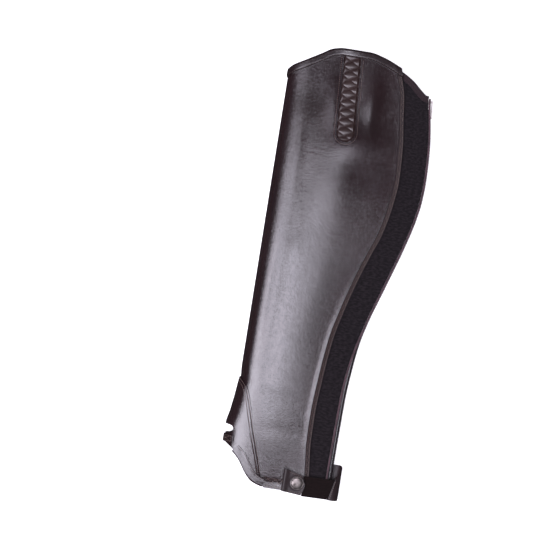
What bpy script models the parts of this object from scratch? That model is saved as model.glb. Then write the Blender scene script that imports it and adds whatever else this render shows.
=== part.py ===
"""One leather half chap (riding gaiter), lying on its inner side, as separate cut and sewn pieces.

The chap is a flattened tube. Its places are told by "across", the distance back from the shin fold, and
"down", the distance from the top corner of that fold toward the foot. +X runs across toward the zip,
+Y runs up toward the knee and +Z is up from the surface. All sizes are in millimetres until place().
"""

import math
from collections import namedtuple

import bmesh
import bpy
from mathutils import Vector

MILLIMETRE = 0.001

# Where the origin lies: the middle of the chap's outline, on the surface under it.
ORIGIN_ACROSS = 73.83
ORIGIN_DOWN = 196.6

# Cloth and leather thicknesses, and the air between pieces that touch.
LEATHER = 1.5
LINING = 1.1
BINDING = 1.0
TAPE = 0.8
GAP = 0.3
# How far a bound edge stays back from the bottom of the fold over it, and how far the ends of pieces
# that meet in the thickness of the wall stay apart.
EDGE_CLEAR = 0.8
END_CLEAR = 0.4

# Depths below the outer face of the main leather; a negative depth stands proud of it.
UNDER_LEATHER = LEATHER + GAP
STACK = UNDER_LEATHER + LINING
UNDER_LINING = STACK + GAP
OUTER_TAPE_DEPTH = UNDER_LINING + 0.2
FOOT_PROUD = LEATHER + 0.45
TRIM_PROUD = BINDING + 0.4
STRAP_PROUD = LEATHER + GAP

# The flattened tube, section by section. front is where its shin fold lies across, flank is the height
# that the upper wall's curve is drawn to, and edge is the upper wall's height at the zip.
Section = namedtuple("Section", "down front flank edge")
SECTIONS = (
    Section(-32, 0.0, 25.0, 12.4),
    Section(18, 0.0, 27.0, 11.8),
    Section(50, 0.0, 29.5, 10.2),
    Section(100, 0.0, 32.0, 8.6),
    Section(180, 0.0, 33.5, 8.6),
    Section(240, 0.0, 33.5, 9.8),
    Section(300, 0.0, 33.0, 11.7),
    Section(314, 0.8, 33.0, 11.7),
    Section(326, 0.0, 32.5, 11.7),
    Section(347, -2.6, 32.0, 11.7),
    Section(361, -5.0, 31.5, 11.7),
    Section(371, -3.8, 31.5, 11.7),
    Section(430, -3.8, 31.0, 11.7),
)
NOSE_HEIGHT = 10.5
FLANK_DROP = 1.5
# How far the lower wall bridges before it lies on the surface, below the top binding and above the foot.
BINDING_REST = 62.0
FOOT_REST_START = 195.0
FOOT_REST_LENGTH = 105.0
NOSE_LENGTH = 14.0
FLANK_REACH = 0.30
NOSE_SHARE = 0.16
# Columns crowd toward the shin fold, where the tube turns most.
CROWDING = 1.15

# The zip edge, which is the back of the outline.
Edge = namedtuple("Edge", "down across")
BACK_EDGE = (
    Edge(-32, 143.5),
    Edge(10, 147.9),
    Edge(40, 151.7),
    Edge(70, 154.3),
    Edge(92, 154.9),
    Edge(112, 153.9),
    Edge(132, 150.8),
    Edge(160, 143.8),
    Edge(200, 131.7),
    Edge(240, 119.4),
    Edge(262, 114.3),
    Edge(285, 111.3),
    Edge(320, 108.7),
    Edge(380, 107.8),
    Edge(430, 107.5),
)

# The seam between the leather and the elastic, at the leather's side of the elastic that shows.
SEAM_EDGE = (
    Edge(-32, 106.5),
    Edge(-14, 112.0),
    Edge(10, 119.0),
    Edge(30, 121.5),
    Edge(60, 125.6),
    Edge(95, 127.3),
    Edge(120, 125.0),
    Edge(150, 118.9),
    Edge(170, 111.8),
    Edge(200, 101.8),
    Edge(230, 93.6),
    Edge(260, 87.0),
    Edge(300, 82.8),
    Edge(340, 80.6),
    Edge(365, 81.0),
    Edge(398, 84.2),
    Edge(430, 86.5),
)

# The top outlines of the upper (outer) and the lower (inner) wall, and of the elastic.
Rim = namedtuple("Rim", "across down")
OUTER_RIM = (
    Rim(0, -0.6),
    Rim(5, -5.0),
    Rim(15, -10.6),
    Rim(30, -19.4),
    Rim(42, -26.4),
    Rim(52, -28.3),
    Rim(78, -28.4),
    Rim(92, -25.6),
    Rim(113, -17.5),
)
ELASTIC_RIM = (
    Rim(100, -21.0),
    Rim(112, -15.3),
    Rim(125, -7.8),
    Rim(135, 0.6),
    Rim(141, 4.7),
    Rim(150, 5.4),
)
INNER_RIM = (
    Rim(0, -0.6),
    Rim(10, 6.0),
    Rim(25, 9.9),
    Rim(45, 13.7),
    Rim(66, 15.0),
    Rim(85, 13.3),
    Rim(122, 9.0),
    Rim(152, 5.3),
)
BOTTOM_DOWN = 418.3
LINING_HEM = 3.0
OUTER_RIM_END = 113.0
SEAM_LEAN = 0.29
TOP_BINDING_END = 141.4
BINDINGS_APART = 1.7
ELASTIC_CORNER_DOWN = 8.0

# The foot piece: its stitched upper edge on the leather, and its bound lower edge.
FOOT_SEAM = (
    Rim(-8, 306.5),
    Rim(0, 311.7),
    Rim(6.7, 317.8),
    Rim(10.6, 324.4),
    Rim(16, 340.0),
    Rim(21.7, 359.0),
    Rim(32.2, 391.0),
    Rim(38.3, 411.0),
    Rim(46, 433.0),
)
FOOT_EDGE = (
    Rim(-8, 378.2),
    Rim(-4, 380.3),
    Rim(0, 383.0),
    Rim(6.7, 388.2),
    Rim(12.2, 393.6),
    Rim(22.2, 408.0),
    Rim(28, 413.6),
    Rim(38.3, 417.2),
    Rim(46, 418.0),
)
FOOT_END = 38.3
FOOT_LAP_ACROSS = 6.0
FOOT_LAP_DOWN = 3.0
FOOT_CORNER_RISE = 7.0
FOOT_CORNER_WIDTH = 3.0
NOTCH = ((-16.0, 365.0, 5.3), (-1.2, 365.1, 3.9))
BRIDGE_TOP = 370.9
BRIDGE_BOTTOM = 378.6
BRIDGE_END = 4.6
FOOT_BINDING_INSET = 0.8
FOOT_BINDING_SHORT = 4.8

# The laced-look insert in the outer wall, tapering a little to a round lower end.
WINDOW_TOP = -23.0
WINDOW_TOP_ACROSS = 61.3
WINDOW_END_ACROSS = 66.0
WINDOW_END_DOWN = 55.4
WINDOW_TOP_HALF = 8.5
WINDOW_END_RADIUS = 9.2
WINDOW_CORNER = 0.5
INSERT_LAP = 4.4
INSERT_CLEAR = 0.4
INSERT_TIP_SHARE = 0.2
CUT_BELOW = 10.5
CUT_ABOVE = 42.0

# Strips and bindings. A folded binding's section turns its two corners in by FOLD_CORNER, where it is
# FOLD_CORNER_SHARE of its full thickness out, and its flaps start FOLD_LIP over the edge.
FOLD_LIP = 0.4
FOLD_CORNER = 0.8
FOLD_CORNER_SHARE = 0.73
SEAM_STRIP_WIDTH = 4.7
SEAM_STRIP_DEPTH = 0.5
TOP_FLAP_OUT = 6.3
TOP_FLAP_IN = 7.3
ELASTIC_FLAP_OUT = 5.3
ELASTIC_FLAP_IN = 3.4
FOOT_FLAP_OUT = 7.6
FOOT_FLAP_IN = 1.6
BLACK_TAPE_WIDTH = 5.5
TAPE_BELOW_INSERT_TOP = 6.2
TAPE_PAST_INSERT = 2.0
TAPE_BELOW_BINDING = 4.2
ELASTIC_UNDERLAP = 8.0
ELASTIC_TAPE_END = 400.0
PIPING_RADIUS = 1.0
PIPING_BELOW_RIM = 2.0

# The zip: how far its coil stands in from the outline, how high it runs, and how far in from the
# outline the plum piping beside it runs.
ZipRow = namedtuple("ZipRow", "down inset height piping")
COIL_INSET = 1.45
ZIP_ROWS = (
    ZipRow(0, 3.8, 5.4, 1.9),
    ZipRow(20, 3.8, 5.4, 1.6),
    ZipRow(50, COIL_INSET, 3.4, 0.5),
    ZipRow(180, COIL_INSET, 3.4, 0.5),
    ZipRow(240, COIL_INSET, 4.6, 0.5),
    ZipRow(300, COIL_INSET, 6.5, 3.4),
    ZipRow(430, COIL_INSET, 6.5, 4.2),
)
COIL_RADIUS = 1.4
COIL_TOP = 17.6
COIL_BOTTOM = 415.0
ZIP_TAPE_TOP = 18.0
ZIP_TAPE_BOTTOM = 416.5
ZIP_TAPE_WIDTH = 10.0
INNER_LEATHER_CLEAR = 0.55
SLIDER_DOWN = 12.4
SLIDER_FACE = 146.3
SLIDER_SIZE = (3.4, 8.0, 5.0)
SLIDER_HEIGHT = 5.6
EAR_SIZE = (2.3, 1.6, 0.8)
EAR_SPREAD = 1.95
EAR_SINK = 0.3
PIN_OUT = 1.35
PIN_UP = 2.4
PIN_RADIUS = 0.45
EYE_RADIUS = 0.8
BARREL_RADIUS = 1.25
PULL_WIDTH = 2.5
PULL_LENGTH = 17.0
PULL_THICKNESS = 1.0
PULL_CORNER = 0.9
PULL_LEAN = math.radians(5.5)

# The strap round the foot of the zip: a leather end, an elastic band and a folded tab with a snap.
StrapRow = namedtuple("StrapRow", "turn top bottom")
STRAP_ROWS = (
    StrapRow(-1.0, 400.7, 421.6),
    StrapRow(-0.55, 396.8, 421.6),
    StrapRow(0.0, 388.2, 420.6),
    StrapRow(0.5, 385.8, 416.0),
    StrapRow(1.0, 386.2, 411.5),
)
STRAP_BACK = 116.5
STRAP_TURN = 106.3
STRAP_INNER_END = 88.0
STRAP_ELASTIC_TOP = 400.7
STRAP_ELASTIC_BOTTOM = 421.2
TAB_FOLD = 58.4
TAB_ROUND_END = 80.6
TAB_LOWER_END = 79.0
TAB_TOP = 395.3
TAB_TOP_SLOPE = 0.26
TAB_BOTTOM = 418.4
TAB_BOTTOM_SLOPE = 0.10
TAB_END_RADIUS = 17.0
SNAP_ACROSS = 72.8
SNAP_DOWN = 408.3
SNAP_RADIUS = 6.7
SNAP_HEIGHT = 2.2
SNAP_RIM_HEIGHT = 0.9
SNAP_SEAT = 0.5
SNAP_POST_RADIUS = 1.8
SNAP_HOLE_RADIUS = 2.15
STUD_RADIUS = 3.8
STUD_THICKNESS = 0.9
SNAP_REACH = 8.0

ROWS = 17
HEM_SHARE = 0.02
# Columns on the upper wall, round the shin fold and on the lower wall.
MAIN_STEPS = (13, 5, 5)
FOOT_STEPS = (10, 5, 4)
ELASTIC_STEPS = 7
ROUND_SIDES = 24

# Colour, roughness and metallic value of each material.
LOOKS = {
    "dark_brown_leather": ((0.022, 0.013, 0.012), 0.34, 0.0),
    "taupe_suede": ((0.17, 0.13, 0.115), 0.95, 0.0),
    "black_elastic": ((0.020, 0.016, 0.018), 0.85, 0.0),
    "plum_binding": ((0.060, 0.034, 0.040), 0.7, 0.0),
    "black_tape": ((0.018, 0.018, 0.024), 0.8, 0.0),
    "brown_elastic": ((0.016, 0.009, 0.009), 0.7, 0.0),
    "antique_silver": ((0.42, 0.38, 0.36), 0.32, 1.0),
    "black_coil": ((0.012, 0.011, 0.012), 0.5, 0.0),
}


# ---------------------------------------------------------------- smooth curves through the tables


def through(rows, key, value, at):
    """The smooth, never overshooting curve of one column against another, held level past its ends."""
    xs = [getattr(row, key) for row in rows]
    ys = [getattr(row, value) for row in rows]
    if at <= xs[0]:
        return ys[0]
    if at >= xs[-1]:
        return ys[-1]
    steps = [(ys[i + 1] - ys[i]) / (xs[i + 1] - xs[i]) for i in range(len(xs) - 1)]
    slopes = [steps[0]]
    for before, after in zip(steps, steps[1:]):
        same_way = before * after > 0
        slopes.append(2 * before * after / (before + after) if same_way else 0.0)
    slopes.append(steps[-1])
    i = max(k for k in range(len(xs) - 1) if xs[k] <= at)
    span = xs[i + 1] - xs[i]
    t = (at - xs[i]) / span
    return (
        ys[i] * (1 + 2 * t) * (1 - t) ** 2
        + slopes[i] * span * t * (1 - t) ** 2
        + ys[i + 1] * t * t * (3 - 2 * t)
        - slopes[i + 1] * span * t * t * (1 - t)
    )


def ramp(share):
    """0 to 1 with level ends."""
    share = min(1.0, max(0.0, share))
    return share * share * (3 - 2 * share)


def front(down):
    return through(SECTIONS, "down", "front", down)


def back(down):
    return through(BACK_EDGE, "down", "across", down)


def seam(down):
    return through(SEAM_EDGE, "down", "across", down)


def piping_across(down):
    return back(down) - through(ZIP_ROWS, "down", "piping", down) - PIPING_RADIUS


def inner_leather_end(down):
    return back(down) - through(ZIP_ROWS, "down", "inset", down) - INNER_LEATHER_CLEAR


# ---------------------------------------------------------------- the flattened tube


def lift(across, down):
    """How high the lower wall is held off the surface by what is sewn under it: the top binding, and
    the bound foot piece."""
    below_rim = down - through(INNER_RIM, "across", "down", across)
    under_binding = TRIM_PROUD * ramp((BINDING_REST - below_rim) / (BINDING_REST - TOP_FLAP_OUT))
    under_foot = (FOOT_PROUD + TRIM_PROUD) * ramp((down - FOOT_REST_START) / FOOT_REST_LENGTH)
    return max(under_binding, under_foot)


def skin(girth, down):
    """The outer face of the main leather, as (across, height).

    girth runs from 1 at the zip over the upper wall to 0 at the shin fold, then to -1 at the zip again
    along the lower wall.
    """
    fold = front(down)
    width = back(down) - fold
    if girth >= 0:
        flank = through(SECTIONS, "down", "flank", down)
        edge = through(SECTIONS, "down", "edge", down)
        near = 1 - girth
        across = fold + 3 * near * girth**2 * FLANK_REACH * width + girth**3 * width
        height = (
            near**3 * NOSE_HEIGHT
            + 3 * near**2 * girth * (flank - FLANK_DROP)
            + 3 * near * girth**2 * flank
            + girth**3 * edge
        )
        return across, height
    if girth > -NOSE_SHARE:
        angle = -girth / NOSE_SHARE * math.pi / 2
        across = fold + NOSE_LENGTH * (1 - math.cos(angle))
        ground = lift(across, down)
        return across, NOSE_HEIGHT - (NOSE_HEIGHT - ground) * math.sin(angle)
    share = (-girth - NOSE_SHARE) / (1 - NOSE_SHARE)
    across = fold + NOSE_LENGTH + (width - NOSE_LENGTH) * share
    return across, lift(across, down)


def upper(across, down):
    """The girth of a place on the upper wall."""
    low, high = 0.0, 1.2
    for _ in range(40):
        middle = (low + high) / 2
        if skin(middle, down)[0] < across:
            low = middle
        else:
            high = middle
    return (low + high) / 2


def lower(across, down):
    """The girth of a place on the lower wall."""
    reach = across - front(down)
    if reach <= NOSE_LENGTH:
        angle = math.acos(max(-1.0, min(1.0, 1 - reach / NOSE_LENGTH)))
        return -NOSE_SHARE * angle / (math.pi / 2)
    width = back(down) - front(down)
    return -NOSE_SHARE - (1 - NOSE_SHARE) * (reach - NOSE_LENGTH) / (width - NOSE_LENGTH)


def spot(girth, down):
    across, height = skin(girth, down)
    return Vector((across, -down, height))


def slopes(girth, down):
    """The directions round and down the skin, per unit of girth and of down."""
    small_girth = 0.002
    small_down = 0.25
    side = 0.0 if abs(girth) > small_girth else small_girth
    ahead = spot(girth + small_girth + side, down)
    behind = spot(girth - small_girth + side, down)
    round_way = (ahead - behind) / (2 * small_girth)
    down_way = (spot(girth, down + small_down) - spot(girth, down - small_down)) / (2 * small_down)
    return round_way, down_way


def outward(girth, down):
    round_way, down_way = slopes(girth, down)
    return down_way.cross(round_way).normalized()


def on_skin(girth, down, depth=0.0):
    """A point at a depth below the outer face of the main leather."""
    return spot(girth, down) - outward(girth, down) * depth


def place(point):
    """From across, minus down and height in millimetres to world metres."""
    moved = Vector((point.x - ORIGIN_ACROSS, point.y + ORIGIN_DOWN, point.z))
    return moved * MILLIMETRE


# ---------------------------------------------------------------- ways of making solids


def clear_scene():
    for thing in list(bpy.data.objects):
        bpy.data.objects.remove(thing, do_unlink=True)


def new_collection(name):
    found = bpy.data.collections.new(name)
    bpy.context.scene.collection.children.link(found)
    return found


def look(name):
    found = bpy.data.materials.get(name)
    if found:
        return found
    colour, roughness, metallic = LOOKS[name]
    found = bpy.data.materials.new(name)
    found.use_nodes = True
    shader = found.node_tree.nodes["Principled BSDF"]
    shader.inputs["Base Color"].default_value = (*colour, 1.0)
    shader.inputs["Roughness"].default_value = roughness
    shader.inputs["Metallic"].default_value = metallic
    return found


def add_object(name, mesh, material, collection):
    thing = bpy.data.objects.new(name, mesh)
    collection.objects.link(thing)
    if material:
        mesh.materials.append(look(material))
    return thing


def wall(name, across_steps, down_steps, point_at, thickness, material):
    """A closed wall: a grid laid on point_at(i, j), thickened on its inner side."""
    shape = bmesh.new()
    bmesh.ops.create_grid(shape, x_segments=across_steps, y_segments=down_steps, size=1.0)
    for vertex in shape.verts:
        i = round((vertex.co.x + 1) / 2 * across_steps)
        j = round((vertex.co.y + 1) / 2 * down_steps)
        vertex.co = place(point_at(i, j))
    mesh = bpy.data.meshes.new(name)
    shape.to_mesh(mesh)
    shape.free()
    mesh.shade_smooth()
    thing = add_object(name, mesh, material, PARTS)
    thicken = thing.modifiers.new("thickness", "SOLIDIFY")
    thicken.thickness = thickness * MILLIMETRE
    thicken.offset = -1.0
    thicken.use_even_offset = True
    thicken.use_quality_normals = True
    return thing


def row_shares(rows):
    """Evenly spaced rows, with a narrow one at each end of a long panel, under its binding."""
    if rows < ROWS:
        return [row / rows for row in range(rows + 1)]
    inner = [HEM_SHARE + (1 - 2 * HEM_SHARE) * row / (rows - 2) for row in range(rows - 1)]
    return [0.0, *inner, 1.0]


def meet(column, rim):
    """Where a column meets a rim, as (girth, down), closing in from half way down."""
    down = BOTTOM_DOWN / 2
    for _ in range(25):
        girth = column(down)
        down = 0.5 * down + 0.5 * rim(girth, skin(girth, down)[0])
    return column(down), down


def panel(name, columns, top, bottom, depth, thickness, material, rows=ROWS):
    """A cut panel of the tube. columns are functions of down that give a girth, back to front to back."""
    lines = []
    for column in columns:
        ends = [meet(column, rim)[1] for rim in (top, bottom)]
        line = []
        for share in row_shares(rows):
            down = ends[0] + (ends[1] - ends[0]) * share
            line.append(on_skin(column(down), down, depth))
        lines.append(line)
    return wall(name, len(lines) - 1, rows, lambda i, j: lines[i][j], thickness, material)


def girths(upper_end, lower_end, upper_steps, nose_steps, lower_steps):
    """Columns from an edge on the upper wall, round the shin fold, to one on the lower wall."""
    found = []
    for i in range(upper_steps + 1):
        share = (1 - i / upper_steps) ** CROWDING
        found.append(lambda down, s=share: s * upper(upper_end(down), down))
    for i in range(1, nose_steps + 1):
        found.append(lambda down, s=i / nose_steps: -NOSE_SHARE * s)
    for i in range(1, lower_steps + 1):
        share = i / lower_steps
        found.append(
            lambda down, s=share: -NOSE_SHARE
            + s * (lower(lower_end(down), down) + NOSE_SHARE)
        )
    return found


def upper_columns(back_end, front_end, steps):
    """Columns on the upper wall alone, from its back end to its front end."""
    found = []
    for i in range(steps + 1):
        found.append(
            lambda down, s=i / steps: upper(
                back_end(down) + (front_end(down) - back_end(down)) * s, down
            )
        )
    return found


def lower_columns(front_end, back_end, steps):
    """Columns on the lower wall alone, from its front end to its back end."""
    found = []
    for i in range(steps + 1):
        found.append(
            lambda down, s=i / steps: lower(
                front_end(down) + (back_end(down) - front_end(down)) * s, down
            )
        )
    return found


def along_skin(girth, down, sideways, depth):
    """A point reached by walking from a place on the skin, then sinking to a depth."""
    round_way, down_way = slopes(girth, down)
    steps = 3
    for _ in range(steps):
        a = round_way.dot(round_way)
        b = round_way.dot(down_way)
        c = down_way.dot(down_way)
        e = sideways.dot(round_way) / steps
        f = sideways.dot(down_way) / steps
        scale = a * c - b * b
        girth += (e * c - f * b) / scale
        down += (f * a - e * b) / scale
        round_way, down_way = slopes(girth, down)
    return on_skin(girth, down, depth)


def folded_binding(
    name, edge, toward, stack_top, stack, flap_out, flap_in, material, leans=(None, None)
):
    """A strip folded over an edge.

    edge lists (girth, down) places and toward is 1 where the panel lies below its edge and -1 where it
    lies above. stack_top is the depth of the outer face of what it folds over and stack is how thick
    that is. An end is cut square to the edge, or along a seam that leans back by leans a step down.
    """
    turn = TRIM_PROUD
    corner = FOLD_CORNER_SHARE * turn
    profile = (
        (flap_out, -turn),
        (FOLD_LIP, -turn),
        (-FOLD_CORNER, -corner),
        (-turn, 0.0),
        (-turn, stack),
        (-FOLD_CORNER, stack + corner),
        (FOLD_LIP, stack + turn),
        (flap_in, stack + turn),
    )
    points = [spot(girth, down) for girth, down in edge]
    rings = []
    for i, (girth, down) in enumerate(edge):
        ahead = points[min(i + 1, len(points) - 1)]
        behind = points[max(i - 1, 0)]
        way = (ahead - behind).normalized()
        into = way.cross(outward(girth, down)).normalized()
        if into.y * toward > 0:
            into = -into
        lean = {0: leans[0], len(edge) - 1: leans[1]}.get(i)
        if lean is not None:
            round_way, down_way = slopes(girth, down)
            end_way = down_way + round_way * ((lean - down_way.x) / round_way.x)
            end_way = end_way.normalized() * toward
            into = end_way / end_way.dot(into)
        rings.append(
            [along_skin(girth, down, into * reach, stack_top + depth) for reach, depth in profile]
        )
    if toward < 0:
        rings.reverse()
    last = len(profile) - 1
    return wall(name, len(edge) - 1, last, lambda i, j: rings[i][last - j], BINDING, material)


def rod(name, points, radius, material):
    """A round rod along points in across, minus down and height."""
    line = bpy.data.curves.new(name, "CURVE")
    line.dimensions = "3D"
    line.bevel_depth = radius * MILLIMETRE
    line.bevel_resolution = 2
    line.use_fill_caps = True
    spline = line.splines.new("POLY")
    spline.points.add(len(points) - 1)
    for slot, point in zip(spline.points, points):
        slot.co = (*place(point), 1.0)
    return add_object(name, line, material, PARTS)


def pillar_hull(name, pillars, low, high):
    """A cutter: the hull of upright pillars, each an (across, down, radius)."""
    shape = bmesh.new()
    for across, down, radius in pillars:
        for height in (low, high):
            made = bmesh.ops.create_circle(shape, segments=ROUND_SIDES, radius=radius * MILLIMETRE)
            centre = place(Vector((across, -down, height)))
            bmesh.ops.translate(shape, verts=made["verts"], vec=centre)
    hull = bmesh.ops.convex_hull(shape, input=shape.verts)
    spare = [item for item in hull["geom_interior"] if isinstance(item, bmesh.types.BMVert)]
    bmesh.ops.delete(shape, geom=spare, context="VERTS")
    mesh = bpy.data.meshes.new(name)
    shape.to_mesh(mesh)
    shape.free()
    cutter = add_object(name, mesh, None, CUTTERS)
    cutter.hide_render = True
    cutter.display_type = "WIRE"
    return cutter


def combine(thing, other, operation):
    step = thing.modifiers.new(other.name, "BOOLEAN")
    step.operation = operation
    step.solver = "EXACT"
    step.object = other


def block(name, size, centre, material, collection):
    """A box; size and centre are in across, up and height."""
    shape = bmesh.new()
    bmesh.ops.create_cube(shape, size=1.0)
    bmesh.ops.scale(shape, vec=Vector(size) * MILLIMETRE, verts=shape.verts)
    bmesh.ops.translate(shape, vec=place(centre), verts=shape.verts)
    mesh = bpy.data.meshes.new(name)
    shape.to_mesh(mesh)
    shape.free()
    return add_object(name, mesh, material, collection)


def snap_turn():
    """The turn from upright to straight out of the upper wall at the snap."""
    out = outward(upper(SNAP_ACROSS, SNAP_DOWN), SNAP_DOWN)
    return Vector((0, 0, 1)).rotation_difference(out)


def pillar(name, radius, low, high, centre, material, collection):
    """An upright cylinder between two heights."""
    shape = bmesh.new()
    bmesh.ops.create_cone(
        shape,
        cap_ends=True,
        segments=ROUND_SIDES,
        radius1=radius * MILLIMETRE,
        radius2=radius * MILLIMETRE,
        depth=(high - low) * MILLIMETRE,
    )
    middle = Vector((centre.x, centre.y, (low + high) / 2))
    bmesh.ops.translate(shape, vec=place(middle), verts=shape.verts)
    mesh = bpy.data.meshes.new(name)
    shape.to_mesh(mesh)
    shape.free()
    return add_object(name, mesh, material, collection)


def hide_tool(thing):
    thing.hide_render = True
    thing.display_type = "WIRE"
    return thing


# ---------------------------------------------------------------- the leather and its lining


def top_fold(girth, across):
    """Where the top binding's fold begins, on either wall."""
    rows = OUTER_RIM if girth >= 0 else INNER_RIM
    return through(rows, "across", "down", across) + TRIM_PROUD


def top_of_leather(girth, across):
    return top_fold(girth, across) + EDGE_CLEAR


def bottom_of_leather(girth, across):
    """Level at the foot, and rising under the foot piece toward the shin fold."""
    lap = through(FOOT_SEAM, "across", "down", across + FOOT_LAP_ACROSS) + FOOT_LAP_DOWN
    rise = FOOT_CORNER_RISE * ramp((FOOT_END + FOOT_CORNER_WIDTH - across) / FOOT_CORNER_WIDTH)
    return min(BOTTOM_DOWN - rise, lap)


def window_cutter(name, margin):
    """The insert's opening, grown sideways and at its end by a margin."""
    half = WINDOW_TOP_HALF + margin - WINDOW_CORNER
    top = WINDOW_TOP + WINDOW_CORNER
    pillars = (
        (WINDOW_TOP_ACROSS - half, top, WINDOW_CORNER),
        (WINDOW_TOP_ACROSS + half, top, WINDOW_CORNER),
        (WINDOW_END_ACROSS, WINDOW_END_DOWN, WINDOW_END_RADIUS + margin),
    )
    return pillar_hull(name, pillars, CUT_BELOW, CUT_ABOVE)


def snap_hole(name):
    origin = Vector((ORIGIN_ACROSS, -ORIGIN_DOWN, 0))
    hole = pillar(name, SNAP_HOLE_RADIUS, -SNAP_REACH, SNAP_REACH, origin, None, CUTTERS)
    hole.location = place(on_skin(upper(SNAP_ACROSS, SNAP_DOWN), SNAP_DOWN))
    hole.rotation_mode = "QUATERNION"
    hole.rotation_quaternion = snap_turn()
    return hide_tool(hole)


def leather_columns(upper_end=None, lower_end=None):
    """The main leather's columns, or the same ones with other ends."""
    columns = girths(
        lambda down: seam(down) - SEAM_STRIP_WIDTH - GAP, inner_leather_end, *MAIN_STEPS
    )
    if upper_end:
        columns[0] = lambda down: upper(upper_end(down), down)
    if lower_end:
        columns[-1] = lambda down: lower(lower_end(down), down)
    return columns


def make_main_panel():
    """One piece of leather from the elastic, round the shin, to the zip's lower side."""
    leather = panel(
        "main_panel",
        leather_columns(),
        top_of_leather,
        bottom_of_leather,
        0.0,
        LEATHER,
        "dark_brown_leather",
    )
    combine(leather, window_cutter("window_in_leather", 0.0), "DIFFERENCE")
    combine(leather, snap_hole("snap_hole_in_leather"), "DIFFERENCE")


def make_lining():
    """Suede behind the leather, open behind the insert."""
    suede = panel(
        "lining",
        leather_columns(
            lambda down: seam(down) - ELASTIC_UNDERLAP - EDGE_CLEAR,
            lambda down: inner_leather_end(down) - ZIP_TAPE_WIDTH - EDGE_CLEAR,
        ),
        top_of_leather,
        lambda girth, across: bottom_of_leather(girth, across) - LINING_HEM,
        UNDER_LEATHER,
        LINING,
        "taupe_suede",
    )
    combine(suede, window_cutter("window_in_lining", INSERT_LAP), "DIFFERENCE")
    combine(suede, snap_hole("snap_hole_in_lining"), "DIFFERENCE")


def insert_half(down):
    """Half of the width that the insert's cloth takes behind the leather."""
    reach = (down - WINDOW_TOP) / (WINDOW_END_DOWN - WINDOW_TOP)
    half = WINDOW_TOP_HALF + (WINDOW_END_RADIUS - WINDOW_TOP_HALF) * min(1.0, reach)
    half += INSERT_LAP - INSERT_CLEAR
    if down > WINDOW_END_DOWN:
        round_end = math.sqrt(max(0.0, half * half - (down - WINDOW_END_DOWN) ** 2))
        half = max(INSERT_TIP_SHARE * half, round_end)
    return half


def insert_middle(down):
    reach = (down - WINDOW_TOP) / (WINDOW_END_DOWN - WINDOW_TOP)
    return WINDOW_TOP_ACROSS + (WINDOW_END_ACROSS - WINDOW_TOP_ACROSS) * reach


def make_insert():
    """The smocked strip that shows through the window."""
    end = WINDOW_END_DOWN + WINDOW_END_RADIUS + INSERT_LAP - INSERT_CLEAR - GAP
    top = WINDOW_TOP + WINDOW_CORNER / 2
    panel(
        "insert_panel",
        upper_columns(
            lambda down: insert_middle(down) + insert_half(down),
            lambda down: insert_middle(down) - insert_half(down),
            6,
        ),
        lambda girth, across: top,
        lambda girth, across: end,
        UNDER_LEATHER,
        LINING,
        "dark_brown_leather",
        rows=14,
    )


def make_seam_strip():
    """The stitched strip of leather along the elastic."""
    panel(
        "seam_strip",
        upper_columns(seam, lambda down: seam(down) - SEAM_STRIP_WIDTH, 2),
        lambda girth, across: top_of_leather(1, across),
        lambda girth, across: BOTTOM_DOWN,
        SEAM_STRIP_DEPTH,
        LEATHER - SEAM_STRIP_DEPTH,
        "dark_brown_leather",
    )


def make_black_tapes():
    """Tapes that cover the seams inside: one each side of the insert and one along the elastic."""
    start = WINDOW_TOP + TAPE_BELOW_INSERT_TOP
    end = WINDOW_END_DOWN + WINDOW_END_RADIUS + INSERT_LAP + TAPE_PAST_INSERT
    for name, side in (("insert_tape_back", 1), ("insert_tape_front", -1)):
        middle_offset = side * (WINDOW_END_RADIUS + INSERT_LAP)
        half = BLACK_TAPE_WIDTH / 2
        panel(
            name,
            upper_columns(
                lambda down, m=middle_offset: insert_middle(down) + m + half,
                lambda down, m=middle_offset: insert_middle(down) + m - half,
                2,
            ),
            lambda girth, across: start,
            lambda girth, across: end,
            UNDER_LINING,
            TAPE,
            "black_tape",
            rows=5,
        )
    over = ELASTIC_UNDERLAP - BLACK_TAPE_WIDTH / 2
    panel(
        "elastic_tape",
        upper_columns(
            lambda down: seam(down) - over,
            lambda down: seam(down) - over - BLACK_TAPE_WIDTH,
            2,
        ),
        lambda girth, across: through(OUTER_RIM, "across", "down", across) + TOP_FLAP_IN + TAPE_BELOW_BINDING,
        lambda girth, across: ELASTIC_TAPE_END,
        UNDER_LINING,
        TAPE,
        "black_tape",
    )


def make_top_binding():
    """Leather folded over the top edge, all round from the elastic to the zip's lower side."""
    columns = leather_columns(
        lambda down: OUTER_RIM_END - BINDINGS_APART / 2, lambda down: TOP_BINDING_END
    )
    folded_binding(
        "top_binding",
        [meet(column, top_fold) for column in columns],
        1,
        0.0,
        STACK,
        TOP_FLAP_OUT,
        TOP_FLAP_IN,
        "dark_brown_leather",
        leans=(SEAM_LEAN, None),
    )


# ---------------------------------------------------------------- the elastic and its trimmings


def elastic_fold(across):
    """Where the fold of the elastic's binding begins."""
    return through(ELASTIC_RIM, "across", "down", across) + TRIM_PROUD


def elastic_end(down):
    return piping_across(down) - PIPING_RADIUS - END_CLEAR


def make_elastic_panel():
    """The stretch panel at the calf, lapped under the leather."""
    panel(
        "elastic_panel",
        upper_columns(elastic_end, lambda down: seam(down) - ELASTIC_UNDERLAP, ELASTIC_STEPS),
        lambda girth, across: elastic_fold(across) + EDGE_CLEAR,
        lambda girth, across: BOTTOM_DOWN - EDGE_CLEAR,
        UNDER_LEATHER,
        LINING,
        "black_elastic",
    )


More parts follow.
